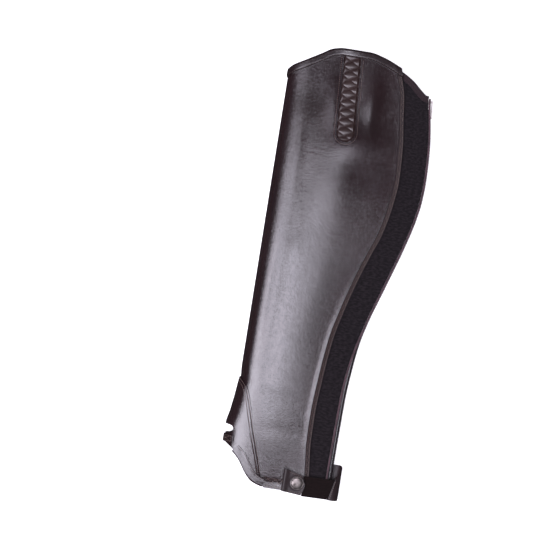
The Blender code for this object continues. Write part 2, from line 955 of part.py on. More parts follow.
def make_elastic_binding():
    """Plum binding folded over the elastic's top edge."""
    columns = upper_columns(
        lambda down: elastic_end(ELASTIC_CORNER_DOWN),
        lambda down: OUTER_RIM_END + BINDINGS_APART / 2,
        ELASTIC_STEPS,
    )
    folded_binding(
        "elastic_binding",
        [meet(column, lambda girth, across: elastic_fold(across)) for column in columns],
        1,
        UNDER_LEATHER,
        LINING,
        ELASTIC_FLAP_OUT,
        ELASTIC_FLAP_IN,
        "plum_binding",
        leans=(None, SEAM_LEAN),
    )


def make_elastic_piping():
    """The plum piping on the elastic's edge beside the zip."""
    top = ELASTIC_RIM[-1].down + PIPING_BELOW_RIM
    bottom = BOTTOM_DOWN - PIPING_RADIUS
    points = []
    for share in row_shares(ROWS):
        down = top + (bottom - top) * share
        girth = upper(piping_across(down), down)
        points.append(on_skin(girth, down, UNDER_LEATHER))
    rod("elastic_piping", points, PIPING_RADIUS, "plum_binding")


# ---------------------------------------------------------------- the zip


def coil_point(down):
    inset = through(ZIP_ROWS, "down", "inset", down)
    height = through(ZIP_ROWS, "down", "height", down)
    return Vector((back(down) - inset, -down, height))


def make_zip_coil():
    points = []
    for row in range(ROWS + 1):
        points.append(coil_point(COIL_TOP + (COIL_BOTTOM - COIL_TOP) * row / ROWS))
    rod("zip_coil", points, COIL_RADIUS, "black_coil")


def tape_end(down):
    return coil_point(down).x - COIL_RADIUS - GAP


def make_zip_tapes():
    """The two woven tapes, one behind the elastic and one on the inside of the lower leather."""
    panel(
        "zip_tape_outer",
        upper_columns(tape_end, lambda down: tape_end(down) - ZIP_TAPE_WIDTH, 3),
        lambda girth, across: ZIP_TAPE_TOP,
        lambda girth, across: ZIP_TAPE_BOTTOM,
        OUTER_TAPE_DEPTH,
        TAPE,
        "black_tape",
    )
    panel(
        "zip_tape_inner",
        lower_columns(
            lambda down: inner_leather_end(down) - ZIP_TAPE_WIDTH, tape_end, 2
        ),
        lambda girth, across: ZIP_TAPE_TOP,
        lambda girth, across: ZIP_TAPE_BOTTOM,
        UNDER_LEATHER,
        TAPE,
        "black_tape",
    )


def make_zip_slider():
    """The slider at the top of the closed zip, with two ears and the pin that its pull swings on."""
    centre = Vector((SLIDER_FACE - SLIDER_SIZE[0] / 2, -SLIDER_DOWN, SLIDER_HEIGHT))
    slider = block("zip_slider", SLIDER_SIZE, centre, "antique_silver", PARTS)
    for side in (1, -1):
        ear_centre = Vector(
            (
                SLIDER_FACE + EAR_SIZE[0] / 2 - EAR_SINK,
                -SLIDER_DOWN + PIN_UP,
                SLIDER_HEIGHT + side * EAR_SPREAD,
            )
        )
        ear = block(f"slider_ear_{side + 2}", EAR_SIZE, ear_centre, None, CUTTERS)
        combine(slider, hide_tool(ear), "UNION")
    pin = pillar(
        "slider_pin",
        PIN_RADIUS,
        SLIDER_HEIGHT - EAR_SPREAD,
        SLIDER_HEIGHT + EAR_SPREAD,
        Vector((SLIDER_FACE + PIN_OUT, -SLIDER_DOWN + PIN_UP, 0)),
        None,
        CUTTERS,
    )
    combine(slider, hide_tool(pin), "UNION")


def make_zip_pull():
    """The pull tab, hanging down the zip edge from the slider's pin. Its own origin is on the pin."""
    shape = bmesh.new()
    length = PULL_LENGTH * MILLIMETRE
    bmesh.ops.create_cube(shape, size=1.0)
    size = Vector((PULL_THICKNESS, PULL_LENGTH, PULL_WIDTH)) * MILLIMETRE
    bmesh.ops.scale(shape, vec=size, verts=shape.verts)
    bmesh.ops.translate(shape, vec=(0, -length / 2, 0), verts=shape.verts)
    corners = [
        edge
        for edge in shape.edges
        if all(v.co.y < -length * 0.9 for v in edge.verts)
        and abs(edge.verts[0].co.x - edge.verts[1].co.x) > 0.5 * PULL_THICKNESS * MILLIMETRE
    ]
    bmesh.ops.bevel(
        shape,
        geom=corners,
        offset=PULL_CORNER * MILLIMETRE,
        segments=4,
        profile=0.5,
        material=-1,
        affect="EDGES",
    )
    mesh = bpy.data.meshes.new("zip_pull")
    shape.to_mesh(mesh)
    shape.free()
    pull = add_object("zip_pull", mesh, "antique_silver", PARTS)
    hinge = Vector((SLIDER_FACE + PIN_OUT, -SLIDER_DOWN + PIN_UP, SLIDER_HEIGHT))
    pull.location = place(hinge)
    pull.rotation_euler = (0, 0, PULL_LEAN)
    half = PULL_WIDTH / 2
    centre = Vector((hinge.x, hinge.y, 0))
    for name, radius, reach, operation in (
        ("pull_barrel", BARREL_RADIUS, 0.0, "UNION"),
        ("pull_eye", EYE_RADIUS, 1.0, "DIFFERENCE"),
    ):
        tool = pillar(
            name,
            radius,
            SLIDER_HEIGHT - half - reach,
            SLIDER_HEIGHT + half + reach,
            centre,
            None,
            CUTTERS,
        )
        combine(pull, hide_tool(tool), operation)


# ---------------------------------------------------------------- the foot piece


def foot_columns():
    return girths(lambda down: FOOT_END, lambda down: FOOT_END, *FOOT_STEPS)


def foot_fold(girth, across):
    """Where the fold of the foot's binding begins."""
    return through(FOOT_EDGE, "across", "down", across) - TRIM_PROUD


def make_foot_panel():
    """The piece over the instep, lapped on the leather, with a slot across the fold."""
    foot = panel(
        "foot_panel",
        foot_columns(),
        lambda girth, across: through(FOOT_SEAM, "across", "down", across),
        lambda girth, across: foot_fold(girth, across) - EDGE_CLEAR,
        -FOOT_PROUD,
        LEATHER,
        "dark_brown_leather",
        rows=7,
    )
    slot = pillar_hull("instep_slot", NOTCH, -5.0, CUT_ABOVE)
    combine(foot, slot, "DIFFERENCE")


def make_foot_bindings():
    """Leather folded over the foot piece's lower edge, on both sides of the bridge."""
    first = BRIDGE_END + FOOT_BINDING_INSET
    last = FOOT_END - FOOT_BINDING_SHORT
    columns = foot_columns()
    upper_steps, nose_steps, _ = FOOT_STEPS
    outer = [
        lambda down: upper(last, down),
        *columns[1 : upper_steps // 2],
        lambda down: upper(first, down),
    ]
    inner = [*columns[upper_steps + nose_steps - 1 : -1], lambda down: lower(last, down)]
    for name, places in (("foot_binding_outer", outer), ("foot_binding_inner", inner)):
        folded_binding(
            name,
            [meet(column, foot_fold) for column in places],
            -1,
            -FOOT_PROUD,
            LEATHER,
            FOOT_FLAP_OUT,
            FOOT_FLAP_IN,
            "dark_brown_leather",
        )


def make_bridge_strap():
    """The short strap sewn across the fold below the slot."""
    steps = 5
    columns = []
    for i in range(steps + 1):
        columns.append(lambda down, s=1 - i / steps: s * upper(BRIDGE_END, down))
    for i in range(1, steps):
        columns.append(lambda down, s=i / (steps - 1): s * lower(BRIDGE_END, down))
    panel(
        "bridge_strap",
        columns,
        lambda girth, across: BRIDGE_TOP,
        lambda girth, across: BRIDGE_BOTTOM,
        -FOOT_PROUD - TRIM_PROUD,
        BINDING,
        "dark_brown_leather",
        rows=2,
    )


# ---------------------------------------------------------------- the strap at the heel


def make_strap_end():
    """The leather end, from the lower wall round the back of the zip to the upper wall."""
    turn_steps, flat_steps = 8, 2
    steps = turn_steps + flat_steps
    height = skin(upper(STRAP_TURN, 405.0), 405.0)[1] + STRAP_PROUD

    def point_at(i, j):
        turn = -1 + 2 * min(1.0, i / turn_steps)
        angle = turn * math.pi / 2
        across = STRAP_TURN + (STRAP_BACK - STRAP_TURN) * math.cos(angle)
        rise = height / 2 - height / 2 * math.sin(angle)
        if i > turn_steps:
            share = (i - turn_steps) / flat_steps
            across = STRAP_TURN + (STRAP_INNER_END - STRAP_TURN) * share
            rise = 0.0
        top = through(STRAP_ROWS, "turn", "top", turn)
        bottom = through(STRAP_ROWS, "turn", "bottom", turn)
        return Vector((across, -(top + (bottom - top) * j / 4), rise))

    wall(
        "strap_end", steps, 4, lambda i, j: point_at(steps - i, j), LEATHER, "dark_brown_leather"
    )


def make_strap_elastic():
    """The elastic band of the strap, over the calf elastic."""
    panel(
        "strap_elastic",
        upper_columns(lambda down: STRAP_TURN - EDGE_CLEAR, lambda down: TAB_LOWER_END + GAP, 6),
        lambda girth, across: STRAP_ELASTIC_TOP,
        lambda girth, across: STRAP_ELASTIC_BOTTOM,
        -STRAP_PROUD,
        LEATHER,
        "brown_elastic",
        rows=3,
    )


def make_strap_tab():
    """The folded leather tab that carries the snap."""
    top_level = 2 * STRAP_PROUD
    bend = (top_level - GAP) / 2
    middle = GAP + bend
    rows = 6
    lead = 3

    def tab_end(down):
        off = down - (STRAP_ELASTIC_TOP + STRAP_ELASTIC_BOTTOM) / 2
        fall = TAB_END_RADIUS - math.sqrt(TAB_END_RADIUS**2 - off**2)
        return TAB_ROUND_END - fall

    stations = [("over", i / lead) for i in range(lead + 1)]
    stations += [("bend", i / 4) for i in range(1, 4)]
    stations += [("under", i / lead) for i in range(lead + 1)]

    def point_at(i, j):
        part, share = stations[i]
        start = TAB_FOLD + bend
        across = start
        for _ in range(3):
            top = TAB_TOP + (across - TAB_FOLD) * TAB_TOP_SLOPE
            bottom = TAB_BOTTOM + (across - TAB_FOLD) * TAB_BOTTOM_SLOPE
            down = top + (bottom - top) * j / rows
            if part == "over":
                across = tab_end(down) + (start - tab_end(down)) * share
                level = top_level
            elif part == "bend":
                across = start - bend * math.sin(share * math.pi)
                level = middle + bend * math.cos(share * math.pi)
            else:
                across = start + (TAB_LOWER_END - start) * share
                level = GAP
        return on_skin(upper(across, down), down, -level)

    tab = wall("strap_tab", len(stations) - 1, rows, point_at, LEATHER, "dark_brown_leather")
    combine(tab, snap_hole("snap_hole_in_tab"), "DIFFERENCE")


def make_snap():
    """The snap: a domed cap and post on the tab, and a stud through the leather and lining.

    Heights are above the outer face of the main leather.
    """
    foot = 2 * STRAP_PROUD + SNAP_SEAT
    outline = [(0.0, foot + SNAP_HEIGHT)]
    steps = 5
    for i in range(1, steps + 1):
        angle = i / steps * math.pi / 2
        dome = (SNAP_HEIGHT - SNAP_RIM_HEIGHT) * math.cos(angle)
        outline.append((SNAP_RADIUS * math.sin(angle), foot + SNAP_RIM_HEIGHT + dome))
    outline += [
        (SNAP_RADIUS, foot),
        (SNAP_POST_RADIUS, foot),
        (SNAP_POST_RADIUS, GAP),
        (0.0, GAP),
    ]
    turned("snap_cap", outline)
    inside = -UNDER_LINING - SNAP_SEAT
    stud_outline = (
        (0.0, -GAP),
        (SNAP_POST_RADIUS, -GAP),
        (SNAP_POST_RADIUS, inside),
        (STUD_RADIUS, inside),
        (STUD_RADIUS, inside - STUD_THICKNESS),
        (0.0, inside - STUD_THICKNESS),
    )
    turned("snap_stud", stud_outline)


def turned(name, outline):
    """A turned solid about the snap's axis, from a profile of (radius, height)."""
    shape = bmesh.new()
    line = [shape.verts.new((r * MILLIMETRE, 0, h * MILLIMETRE)) for r, h in outline]
    for first, second in zip(line, line[1:]):
        shape.edges.new((first, second))
    mesh = bpy.data.meshes.new(name)
    shape.to_mesh(mesh)
    shape.free()
    thing = add_object(name, mesh, "antique_silver", PARTS)
    thing.location = place(on_skin(upper(SNAP_ACROSS, SNAP_DOWN), SNAP_DOWN))
    thing.rotation_mode = "QUATERNION"
    thing.rotation_quaternion = snap_turn()
    spin = thing.modifiers.new("turn", "SCREW")
    spin.steps = ROUND_SIDES
    spin.render_steps = ROUND_SIDES
    spin.use_merge_vertices = True
    spin.merge_threshold = 0.00001


# ---------------------------------------------------------------- the whole chap

clear_scene()
PARTS = new_collection("half_chap")
CUTTERS = new_collection("cutters")

make_main_panel()
make_lining()
make_insert()
make_seam_strip()
make_black_tapes()
make_top_binding()
make_elastic_panel()
make_elastic_binding()
make_elastic_piping()
make_zip_coil()
make_zip_tapes()
make_zip_slider()
make_zip_pull()
make_foot_panel()
make_foot_bindings()
make_bridge_strap()
make_strap_end()
make_strap_elastic()
make_strap_tab()
make_snap()
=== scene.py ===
"""A leather half chap lying on its inner side, dressed piece by piece in the order that it is sewn.

Places on the chap are told in millimetres by "across", the distance back from the shin fold, and "down",
the distance from the top corner of that fold toward the foot.
"""

import math
from collections import namedtuple

import bmesh
import bpy
import numpy as np
from mathutils import Matrix, Vector


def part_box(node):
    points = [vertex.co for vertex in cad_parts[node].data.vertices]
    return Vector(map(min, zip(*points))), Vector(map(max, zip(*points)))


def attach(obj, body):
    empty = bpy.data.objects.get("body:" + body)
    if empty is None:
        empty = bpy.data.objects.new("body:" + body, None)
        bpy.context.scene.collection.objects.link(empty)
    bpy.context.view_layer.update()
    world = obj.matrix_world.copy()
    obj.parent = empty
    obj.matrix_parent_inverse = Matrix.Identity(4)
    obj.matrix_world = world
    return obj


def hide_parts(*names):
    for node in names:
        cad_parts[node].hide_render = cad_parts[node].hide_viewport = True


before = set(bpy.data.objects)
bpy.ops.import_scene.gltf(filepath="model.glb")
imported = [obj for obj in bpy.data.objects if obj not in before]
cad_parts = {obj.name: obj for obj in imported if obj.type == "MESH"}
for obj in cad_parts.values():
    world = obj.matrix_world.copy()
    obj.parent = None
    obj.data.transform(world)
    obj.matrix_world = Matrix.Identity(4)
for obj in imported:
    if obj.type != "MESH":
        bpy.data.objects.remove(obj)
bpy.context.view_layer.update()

# ---------------------------------------------------------------- main leather
# One cut of smooth, waxed cowhide, 1.5 mm thick, that runs from the calf elastic round the shin to the
# zip on the inner side. It lies flattened, with soft hollows where the leg's shape has gone out of it.

MILLIMETRE = 0.001
LEATHER = 1.5
LINING = 1.1
BINDING = 1.0
TAPE = 0.8
GAP = 0.3
EDGE_CLEAR = 0.8
UNDER_LEATHER = LEATHER + GAP
STACK = UNDER_LEATHER + LINING
UNDER_LINING = STACK + GAP
FOOT_PROUD = LEATHER + 0.45
TRIM_PROUD = BINDING + 0.4

# Where the slider's front edge and its middle lie on the chap tells where across and down start.
SLIDER_ACROSS = 142.9
SLIDER_DOWN = 12.4
slider_low, slider_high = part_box("zip_slider")
ORIGIN_ACROSS = SLIDER_ACROSS - slider_low[0] / MILLIMETRE
ORIGIN_DOWN = SLIDER_DOWN + (slider_low[1] + slider_high[1]) / 2 / MILLIMETRE

Section = namedtuple("Section", "down front flank edge")
SECTIONS = (
    Section(-32, 0.0, 25.0, 12.4),
    Section(18, 0.0, 27.0, 11.8),
    Section(50, 0.0, 29.5, 10.2),
    Section(100, 0.0, 32.0, 8.6),
    Section(180, 0.0, 33.5, 8.6),
    Section(240, 0.0, 33.5, 9.8),
    Section(300, 0.0, 33.0, 11.7),
    Section(314, 0.8, 33.0, 11.7),
    Section(326, 0.0, 32.5, 11.7),
    Section(347, -2.6, 32.0, 11.7),
    Section(361, -5.0, 31.5, 11.7),
    Section(371, -3.8, 31.5, 11.7),
    Section(430, -3.8, 31.0, 11.7),
)
NOSE_HEIGHT = 10.5
FLANK_DROP = 1.5
NOSE_LENGTH = 14.0
FLANK_REACH = 0.30
NOSE_SHARE = 0.16
BINDING_REST = 62.0
FOOT_REST_START = 195.0
FOOT_REST_LENGTH = 105.0

Edge = namedtuple("Edge", "down across")
BACK_EDGE = (
    Edge(-32, 143.5),
    Edge(10, 147.9),
    Edge(40, 151.7),
    Edge(70, 154.3),
    Edge(92, 154.9),
    Edge(112, 153.9),
    Edge(132, 150.8),
    Edge(160, 143.8),
    Edge(200, 131.7),
    Edge(240, 119.4),
    Edge(262, 114.3),
    Edge(285, 111.3),
    Edge(320, 108.7),
    Edge(380, 107.8),
    Edge(430, 107.5),
)
SEAM_EDGE = (
    Edge(-32, 106.5),
    Edge(-14, 112.0),
    Edge(10, 119.0),
    Edge(30, 121.5),
    Edge(60, 125.6),
    Edge(95, 127.3),
    Edge(120, 125.0),
    Edge(150, 118.9),
    Edge(170, 111.8),
    Edge(200, 101.8),
    Edge(230, 93.6),
    Edge(260, 87.0),
    Edge(300, 82.8),
    Edge(340, 80.6),
    Edge(365, 81.0),
    Edge(398, 84.2),
    Edge(430, 86.5),
)
Rim = namedtuple("Rim", "across down")
OUTER_RIM = (
    Rim(0, -0.6),
    Rim(5, -5.0),
    Rim(15, -10.6),
    Rim(30, -19.4),
    Rim(42, -26.4),
    Rim(52, -28.3),
    Rim(78, -28.4),
    Rim(92, -25.6),
    Rim(113, -17.5),
)
INNER_RIM = (
    Rim(0, -0.6),
    Rim(10, 6.0),
    Rim(25, 9.9),
    Rim(45, 13.7),
    Rim(66, 15.0),
    Rim(85, 13.3),
    Rim(122, 9.0),
    Rim(152, 5.3),
)
BOTTOM_DOWN = 418.3
TOP_FLAP_OUT = 6.3
SEAM_STRIP_WIDTH = 4.7
ROLL_OFF_STRIP = 0.4
ROLL_HALF_WIDTH = 2.4
ROLL_AT_TOP = 0.08
ROLL_BELOW_CALF = 0.50
CROWDING = 1.15

# The soft hollows and swellings of the outer wall, and of the inner wall under it.
Swell = namedtuple("Swell", "across down half_across half_down lean rise")
OUTER_SWELLS = (
    Swell(25, 105, 5, 48, 0.03, 0.40),
    Swell(37, 112, 9, 40, 0.05, -0.45),
    Swell(18.5, 232, 4.2, 48, -0.03, -0.42),
    Swell(33, 178, 9, 16, -0.2, 0.30),
    Swell(88, 23, 8, 25, 0.0, 1.7),
    Swell(79, 64, 20, 17, -0.4, 1.6),
    Swell(48, 20, 7, 22, 0.05, 0.95),
    Swell(67, 100, 18, 43, -0.05, 1.0),
    Swell(62, 215, 15, 50, -0.15, 0.3),
    Swell(50, 430, 34, 48, 0.0, -3.2),
    Swell(48, 412, 12, 3.2, 0.0, -0.5),
    Swell(34, 362, 24, 15, 0.0, 0.25),
    Swell(30, 385, 7, 26, 0.2, -0.4),
)
INNER_SWELLS = (
    Swell(40, 150, 16, 60, 0.05, -0.5),
    Swell(96, 90, 18, 34, -0.1, -0.7),
    Swell(70, 250, 10, 60, -0.08, -0.45),
    Swell(50, 372, 12, 22, 0.1, -0.5),
)


def through(rows, key, value, at):
    """The smooth, never overshooting curve of one column against another, held level past its ends."""
    xs = np.array([getattr(row, key) for row in rows], float)
    ys = np.array([getattr(row, value) for row in rows], float)
    steps = np.diff(ys) / np.diff(xs)
    product = steps[:-1] * steps[1:]
    total = np.where(product > 0, steps[:-1] + steps[1:], 1.0)
    slopes = np.concatenate([steps[:1], np.where(product > 0, 2 * product / total, 0.0), steps[-1:]])
    at = np.clip(at, xs[0], xs[-1])
    i = np.clip(np.searchsorted(xs, at, side="right") - 1, 0, len(xs) - 2)
    span = xs[i + 1] - xs[i]
    t = (at - xs[i]) / span
    start = ys[i] * (1 + 2 * t) * (1 - t) ** 2 + slopes[i] * span * t * (1 - t) ** 2
    return start + ys[i + 1] * t * t * (3 - 2 * t) - slopes[i + 1] * span * t * t * (1 - t)


def ramp(share):
    """0 to 1 with level ends."""
    share = np.clip(share, 0.0, 1.0)
    return share * share * (3 - 2 * share)


def front(down):
    return through(SECTIONS, "down", "front", down)


def back(down):
    return through(BACK_EDGE, "down", "across", down)


def seam(down):
    return through(SEAM_EDGE, "down", "across", down)


def swelling(rows, across, down):
    total = 0.0
    for row in rows:
        aside = (across - row.across - row.lean * (down - row.down)) / row.half_across
        along = (down - row.down) / row.half_down
        total = total + row.rise * np.exp(-(aside**2) - along**2)
    return total


def edge_roll(across, down):
    """The leather swells a little before its stitched edge along the elastic, more toward the foot."""
    off = (across - (seam(down) - SEAM_STRIP_WIDTH - ROLL_OFF_STRIP)) / ROLL_HALF_WIDTH
    below_calf = ROLL_BELOW_CALF * ramp((down - 180) / 80) * (1 - 0.7 * ramp((down - 340) / 50))
    return (ROLL_AT_TOP + below_calf) * np.exp(-(off**2))


def lift(across, down):
    """How high the inner wall is held by the top binding and by the foot piece under it."""
    below_rim = down - through(INNER_RIM, "across", "down", across)
    under_binding = TRIM_PROUD * ramp((BINDING_REST - below_rim) / (BINDING_REST - TOP_FLAP_OUT))
    under_foot = (FOOT_PROUD + TRIM_PROUD) * ramp((down - FOOT_REST_START) / FOOT_REST_LENGTH)
    return np.maximum(under_binding, under_foot)


def skin(girth, down):
    """The leather's outer face, as (across, height).

    girth runs from 1 at the zip over the outer wall to 0 at the shin fold, then to -1 at the zip again
    along the inner wall.
    """
    fold = front(down)
    flank = through(SECTIONS, "down", "flank", down)
    edge = through(SECTIONS, "down", "edge", down)
    width = back(down) - fold
    t = np.maximum(girth, 0.0)
    near = 1 - t
    outer_across = fold + 3 * near * t**2 * FLANK_REACH * width + t**3 * width
    outer_height = near**3 * NOSE_HEIGHT + 3 * near**2 * t * (flank - FLANK_DROP)
    outer_height = outer_height + 3 * near * t**2 * flank + t**3 * edge
    relief = swelling(OUTER_SWELLS, outer_across, down) + edge_roll(outer_across, down)
    outer_height = outer_height + relief * ramp((outer_across - fold - 2) / 9)
    angle = np.clip(-girth / NOSE_SHARE, 0.0, 1.0) * math.pi / 2
    flat_share = np.maximum((-girth - NOSE_SHARE) / (1 - NOSE_SHARE), 0.0)
    inner_across = fold + NOSE_LENGTH * (1 - np.cos(angle)) + (width - NOSE_LENGTH) * flat_share
    hollow = -swelling(INNER_SWELLS, inner_across, down) * ramp((inner_across - fold - 4) / 12)
    inner_height = NOSE_HEIGHT - (NOSE_HEIGHT - lift(inner_across, down) - hollow) * np.sin(angle)
    outer = np.asarray(girth) >= 0
    return np.where(outer, outer_across, inner_across), np.where(outer, outer_height, inner_height)


def upper(across, down):
    """The girth of a place on the outer wall."""
    fold = front(down)
    share = np.maximum((across - fold) / (back(down) - fold), 1e-9)
    bend = 3 * FLANK_REACH
    girth = np.sqrt(share)
    for _ in range(8):
        miss = bend * girth**2 + (1 - bend) * girth**3 - share
        girth = girth - miss / (2 * bend * girth + 3 * (1 - bend) * girth**2)
    return girth


def lower(across, down):
    """The girth of a place on the inner wall."""
    fold = front(down)
    reach = np.maximum(across - fold, 0.0)
    angle = np.arccos(np.clip(1 - reach / NOSE_LENGTH, 0.0, 1.0))
    past = np.maximum(reach - NOSE_LENGTH, 0.0) / (back(down) - fold - NOSE_LENGTH)
    return -NOSE_SHARE * angle / (math.pi / 2) - (1 - NOSE_SHARE) * past


def spot(girth, down):
    across, height = skin(girth, down)
    return np.stack([across, -(down + np.zeros_like(across)), height], axis=-1)


def ways(girth, down):
    """The directions round and down the leather, per unit of girth and of down."""
    small_girth, small_down = 0.002, 0.25
    side = np.where(np.abs(girth) > small_girth, 0.0, small_girth)
    ahead = spot(girth + side + small_girth, down)
    behind = spot(girth + side - small_girth, down)
    down_way = spot(girth, down + small_down) - spot(girth, down - small_down)
    return (ahead - behind) / (2 * small_girth), down_way / (2 * small_down)


def unit(way):
    return way / np.linalg.norm(way, axis=-1, keepdims=True)


def outward(girth, down):
    round_way, down_way = ways(girth, down)
    return unit(np.cross(down_way, round_way))


def on_skin(girth, down, depth=0.0):
    """Points at a depth below the leather's outer face, in millimetres."""
    depth = np.asarray(depth, float) + np.zeros_like(np.asarray(girth) + np.asarray(down))
    return spot(girth, down) - outward(girth, down) * depth[..., None]


def to_world(points):
    return (np.asarray(points, float) + (-ORIGIN_ACROSS, ORIGIN_DOWN, 0.0)) * MILLIMETRE


def round_the_shin(outer_end, inner_end):
    """A cut that wraps the tube: its share runs 0 to 1 over the outer wall from the back, 1 to 2 round
    the shin fold and 2 to 3 along the inner wall."""

    def girth_at(share, down):
        outer = np.clip(1 - share, 0.0, 1.0) ** CROWDING * upper(outer_end(down), down)
        fold = -NOSE_SHARE * np.clip(share - 1, 0.0, 1.0)
        inner = np.clip(share - 2, 0.0, 1.0) * (lower(inner_end(down), down) + NOSE_SHARE)
        return outer + fold + inner

    return girth_at


def meet(shares, girth_at, rim):
    """Where lines of equal share meet a rim, as (girth, down)."""
    down = np.full(len(shares), BOTTOM_DOWN / 2)
    for _ in range(32):
        girth = girth_at(shares, down)
        down = (down + rim(girth, skin(girth, down)[0])) / 2
    return girth_at(shares, down), down


def cut(shares, girth_at, top, bottom, rows):
    """The places of a cut, as arrays [column, row] of girth and down."""
    shares = np.asarray(shares, float)
    start = meet(shares, girth_at, top)[1][:, None]
    end = meet(shares, girth_at, bottom)[1][:, None]
    down = start + (end - start) * np.linspace(0.0, 1.0, rows + 1)
    return girth_at(shares[:, None] + np.zeros_like(down), down), down


def spread(*counts, first=0, last=None):
    """Shares along a cut, with a count of places for each of its stretches."""
    marks = [first, *range(1, len(counts)), last or len(counts)]
    runs = [np.linspace(start, end, count) for start, end, count in zip(marks, marks[1:], counts)]
    return np.concatenate([run[:-1] for run in runs[:-1]] + runs[-1:])


def level_at(down):
    """A rim that runs level across the leather."""
    return lambda girth, across: down


def placed(name, data):
    """A new object in the scene."""
    made = bpy.data.objects.new(name, data)
    bpy.context.scene.collection.objects.link(made)
    return made


def piece_from(shape, name, material):
    """The smooth piece that a finished bmesh makes."""
    mesh = bpy.data.meshes.new(name)
    shape.to_mesh(mesh)
    shape.free()
    mesh.shade_smooth()
    mesh.materials.append(material)
    return placed(name, mesh)


def shell(name, points, thickness, material, opened=None, rim_round=0.25, starts=0.0):
    """A sheet laid on points [column, row] in millimetres, with its thickness inward. opened marks the
    grid's faces that are cut away, and starts tells how far down the cloth each column begins."""
    columns, rows = points.shape[:2]
    shape = bmesh.new()
    bmesh.ops.create_grid(shape, x_segments=columns - 1, y_segments=rows - 1, size=1.0)
    if opened is not None:
        spare = []
        for face in shape.faces:
            centre = face.calc_center_median()
            i = int((centre.x + 1) / 2 * (columns - 1))
            j = int((centre.y + 1) / 2 * (rows - 1))
            if opened[i, j]:
                spare.append(face)
        bmesh.ops.delete(shape, geom=spare, context="FACES")
    grid = np.array([vertex.co for vertex in shape.verts])
    i = np.rint((grid[:, 0] + 1) / 2 * (columns - 1)).astype(int)
    j = np.rint((grid[:, 1] + 1) / 2 * (rows - 1)).astype(int)
    for vertex, place in zip(shape.verts, to_world(points)[i, j]):
        vertex.co = place
    piece = piece_from(shape, name, material)
    round_run = np.zeros((columns, rows))
    round_run[1:] = np.cumsum(np.linalg.norm(np.diff(points, axis=0), axis=-1), axis=0)
    down_run = np.zeros((columns, rows))
    down_run[:, 1:] = np.cumsum(np.linalg.norm(np.diff(points, axis=1), axis=-1), axis=1)
    down_run += np.broadcast_to(starts, columns)[:, None]
    corners = np.zeros(len(piece.data.loops), int)
    piece.data.loops.foreach_get("vertex_index", corners)
    flat = np.stack([round_run[i, j], down_run[i, j]], axis=-1)[corners] * MILLIMETRE
    piece.data.uv_layers.new(name="cut").data.foreach_set("uv", flat.ravel())
    wall = piece.modifiers.new("thickness", "SOLIDIFY")
    wall.thickness = thickness * MILLIMETRE
    wall.offset = -1.0
    wall.use_even_offset = True
    wall.use_quality_normals = True
    soft = piece.modifiers.new("cut edge", "BEVEL")
    soft.width = rim_round * MILLIMETRE
    soft.segments = 2
    soft.limit_method = "ANGLE"
    soft.angle_limit = math.radians(50)
    soft.harden_normals = True
    return piece


def cloth(name, girth, down, depth, thickness, material, outside=None, both_walls=False, rim_round=0.25):
    """A cut laid on the skin at a depth. outside tells how far a place is outside an opening."""
    opened = None
    if outside:
        girth, down = girth.copy(), down.copy()
        across = skin(girth, down)[0]
        here = both_walls | (girth >= 0)
        gap = np.where(here, outside(across, down), 99.0)
        opened = gap[:-1, :-1] + gap[1:, :-1] + gap[:-1, 1:] + gap[1:, 1:] < 0
        around = np.pad(opened, 1)
        near = [around[:-1, :-1], around[1:, :-1], around[:-1, 1:], around[1:, 1:]]
        rim = np.any(near, axis=0) & ~np.all(near, axis=0) & here
        rim[[0, -1], :] = False
        rim[:, [0, -1]] = False
        x, y, step = across[rim], down[rim], 0.05
        for _ in range(4):
            off = outside(x, y)
            slope_x = (outside(x + step, y) - outside(x - step, y)) / (2 * step)
            slope_y = (outside(x, y + step) - outside(x, y - step)) / (2 * step)
            size = np.maximum(slope_x**2 + slope_y**2, 0.2)
            x, y = x - off * slope_x / size, y - off * slope_y / size
        girth[rim] = np.where(girth[rim] >= 0, upper(x, y), lower(x, y))
        down[rim] = y
    return shell(name, on_skin(girth, down, depth), thickness, material, opened, rim_round, down[:, 0])


def fitted(piece, slot, *nodes, body="chap"):
    """The piece moves with its body and stands for its solids, which it hides. slot is not used."""
    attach(piece, body)
    if nodes:
        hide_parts(*nodes)
    return piece


def cut_flat(piece, width, length):
    """Works out the rectangle that the piece was cut from, in millimetres, and the area of its cut, and
    keeps neither.
    """
    flat = (width * MILLIMETRE, length * MILLIMETRE)
    area = min(sum(face.area for face in piece.data.polygons), flat[0] * flat[1])


def new_finish(name, colour, roughness, metallic=0.0, specular=0.5):
    made = bpy.data.materials.new(name)
    made.use_nodes = True
    shader = made.node_tree.nodes["Principled BSDF"]
    shader.inputs["Base Color"].default_value = (*colour, 1.0)
    shader.inputs["Roughness"].default_value = roughness
    shader.inputs["Metallic"].default_value = metallic
    shader.inputs["Specular IOR Level"].default_value = specular
    return made, made.node_tree, shader


def node(tree, kind, sources=None, values=None, **settings):
    """A node with its settings, the sockets that feed it and its other inputs' values."""
    made = tree.nodes.new("ShaderNode" + kind)
    for key, value in settings.items():
        setattr(made, key, value)
    for key, value in (values or {}).items():
        made.inputs[key].default_value = value
    for key, socket in (sources or {}).items():
        tree.links.new(socket, made.inputs[key])
    return made


def feed(tree, shader, sockets):
    """Links what makes a finish into its shader."""
    for key, socket in sockets.items():
        tree.links.new(socket, shader.inputs[key])


def on_the_piece(tree):
    """Places on the piece, in metres."""
    return node(tree, "TexCoord").outputs["Object"]


def along_the_cut(tree):
    """Places on the flat cloth, in metres."""
    return node(tree, "TexCoord").outputs["UV"]


def cloudy(tree, vector, scale, detail):
    return node(tree, "TexNoise", {"Vector": vector}, {"Scale": scale, "Detail": detail}).outputs["Fac"]


